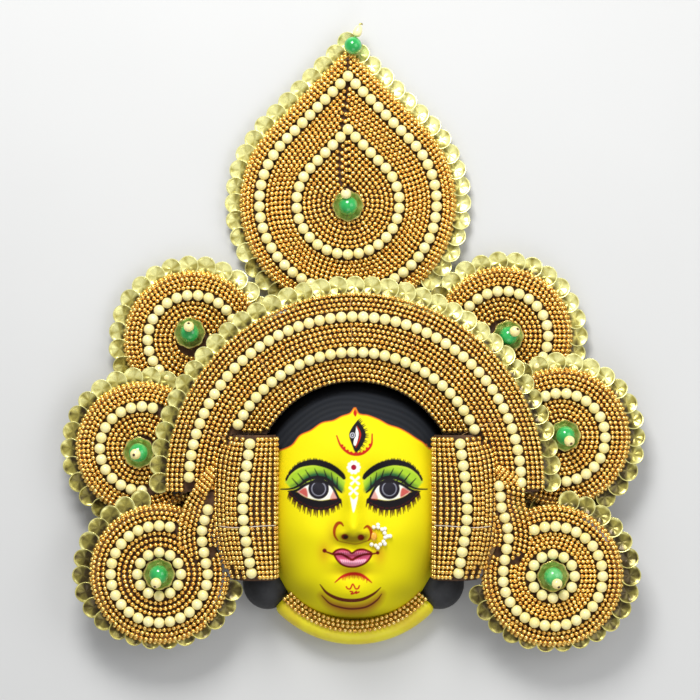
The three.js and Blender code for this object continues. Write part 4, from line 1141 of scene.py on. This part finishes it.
def neck_roll():
    heading = headings(neck_angles(60))
    around = np.linspace(0, 2 * math.pi, 24, endpoint=False)[::-1]
    end = np.minimum(np.minimum(np.arange(60), np.arange(60)[::-1]) / 3, 1)
    size = NECK_ROLL * np.sqrt(np.clip(1 - (1 - end) ** 2, 0.02, 1))[:, None]
    radius = NECK_RADIUS + size * np.cos(around)
    plan = radius[..., None] * heading[:, None] + (0.0, NECK_CENTRE_Y)
    height = np.maximum(NECK_ROLL_HEIGHT + size * np.sin(around), 0.1)
    rings = np.concatenate([plan, height[..., None]], axis=-1)
    tube("neck_roll", rings, YELLOW_PAPER, ends=False)


def side_hair():
    for name, x in (("left", -56.5), ("right", 54.5)):
        lump = reshaped(BIG_BEAD, (16.0, 17.0, 16.0), (x, -66.0, 6.4))
        lump[0][:, 2] = np.maximum(lump[0][:, 2], 0.1)
        add_piece(f"side_hair_{name}", lump, BLACK_PAINT)


# Small ornaments: nose ring, finial and threads


def nose_ring():
    centre = np.array([13.2, -33.4])
    inner = 5.9 * headings(np.radians(np.linspace(-118, 104, 9)))
    outer = 7.4 * headings(np.radians(np.linspace(-80, 80, 5)))
    beads = laid_on(face_height, centre + np.vstack([inner, outer, [(9.0, 0.2)]]), 0.9)
    copies("nose_ring_beads", SMALL_BEAD, beads, WHITE_PAINT, "nose_ring", sizes=0.92)
    hub = reshaped(BIG_BEAD, (0.8, 1.0, 0.45))
    place = laid_on(face_height, centre[None] - (1.4, 0), 0.6)
    copies("nose_ring_hub", hub, place, ORANGE_PAINT, sizes=2.6)


def cord(name, line, radius, material):
    """A round cord along a line of points."""
    along = unit(np.gradient(line, axis=0))
    side = unit(np.cross(along, (0.0, 0.0, 1.0)))
    rise = np.cross(side, along)
    around = circle(1, 6)
    rings = line[:, None] + radius * (around[:, :1] * side[:, None] + around[:, 1:] * rise[:, None])
    tube(name, rings, material)


def finial():
    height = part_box("crest_finial_beads")[0][2] / MM + FINIAL
    bead = [(-1.3, 280.6, height)]
    copies("finial_bead", BIG_BEAD, bead, GREEN, "crest_finial_beads", sizes=FINIAL)
    taper = 1 - 0.25 * BIG_BEAD[0][:, 1]
    pear = reshaped(BIG_BEAD, np.column_stack([taper, np.full(len(taper), 1.5), taper]))
    lean = math.radians(-20)
    turn = [[[math.cos(lean), -math.sin(lean), 0], [math.sin(lean), math.cos(lean), 0], [0, 0, 1]]]
    place = [(1.9, 290.0, height)]
    copies("finial_pear", pear, place, PEARLY, turns=turn, sizes=2.8)
    wire = smooth_line([(1.0, 286.0), (2.6, 292.0), (3.2, 294.6), (5.0, 294.2)], 16)
    cord("finial_wire", lifted(wire, height), 0.55, FLOWER_FOIL)


def threads():
    column = np.array(EAR_PEARLS)[::-1]
    pearl_x = np.interp(EAR_THREAD_Y, column[:, 1], column[:, 0])
    for name, side in (("left", -1), ("right", 1)):
        x = np.linspace(EAR_INNER + 0.5, EAR_INNER + 37.0, 40)
        y = EAR_THREAD_Y + 0.6 * np.sin(x / 7)
        top = ear_top(x, y) + BEAD + 0.6 - 1.2 * (np.abs(x - pearl_x) < PEARL / 2)
        cord(f"ear_thread_{name}", np.column_stack([side * x, y, top]), 0.24, THREAD_PALE)
    inner, outer = ARCH_PEARLS
    parts = {"inner": (ARCH_INNER + 3, inner - 4), "middle": (inner + 4, outer - 4)}
    parts["outer"] = (outer + 4, ARCH_OUTER - 1)
    for turn in ARCH_THREAD_TURNS:
        for part, (low, high) in parts.items():
            radius = np.linspace(low, high, 12)
            plan = headings(math.radians(turn) + 0.004 * np.sin(radius / 4)) * radius[:, None]
            cord(f"arch_thread_{part}_{int(turn)}", lifted(plan, arch_top(radius) + BEAD + 0.5), 0.2, THREAD)


face_skin()
face_back()
neck_roll()
side_hair()
nose_ring()
finial()
threads()

# The boards, ear bands and tails that stay as they are get the backing's finish

backed = [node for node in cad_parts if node.endswith("_board")]
backed += ["ear_band_left", "ear_band_right", "roundel_left_tail", "roundel_right_tail"]
for node_name in backed:
    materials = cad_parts[node_name].data.materials
    materials.clear()
    materials.append(BACKING)

# Stage, light and camera

CAMERA_DISTANCE = 2.2
VIEW_WIDTH = 0.4495
SENSOR = 36.0
AIM = Vector((0.0, 0.0, 0.02))
LIGHTS = (
    ("key", (-0.2, 0.95, 0.95), 0.55, 18.0),
    ("fill", (0.8, 0.2, 0.9), 0.8, 4.0),
    ("low", (0.1, -0.9, 0.7), 0.7, 2.0),
)

bpy.ops.object.select_all(action="DESELECT")
bpy.ops.mesh.primitive_plane_add(size=6.0, location=(0, 0, -0.0005))
floor = bpy.context.object
floor.name = "floor"
floor_tones = [(0.6, 0.6, 0.59), (0.64, 0.64, 0.63)]
floor.data.materials.append(finish("floor_finish", 6.0, floor_tones, (0.0, 1.0), roughness=0.6))

for light_name, light_place, size, power in LIGHTS:
    lamp = bpy.data.lights.new(light_name, "AREA")
    lamp.size = size
    lamp.energy = power
    light = bpy.data.objects.new(light_name, lamp)
    bpy.context.collection.objects.link(light)
    light.location = light_place
    light.rotation_euler = (AIM - light.location).to_track_quat("-Z", "Y").to_euler()

world = bpy.data.worlds.new("studio")
world.use_nodes = True
background = world.node_tree.nodes["Background"]
background.inputs["Color"].default_value = (0.95, 0.97, 1.0, 1.0)
background.inputs["Strength"].default_value = 0.42
bpy.context.scene.world = world

lens = bpy.data.cameras.new("camera")
lens.sensor_width = SENSOR
lens.lens = SENSOR * (CAMERA_DISTANCE - AIM.z) / VIEW_WIDTH
eye = bpy.data.objects.new("camera", lens)
bpy.context.collection.objects.link(eye)
eye.location = (ORIGIN[0] + IMAGE_CENTRE[0] * MM, ORIGIN[1] + IMAGE_CENTRE[1] * MM, CAMERA_DISTANCE)
bpy.context.scene.camera = eye

bpy.context.scene.view_settings.view_transform = "Standard"
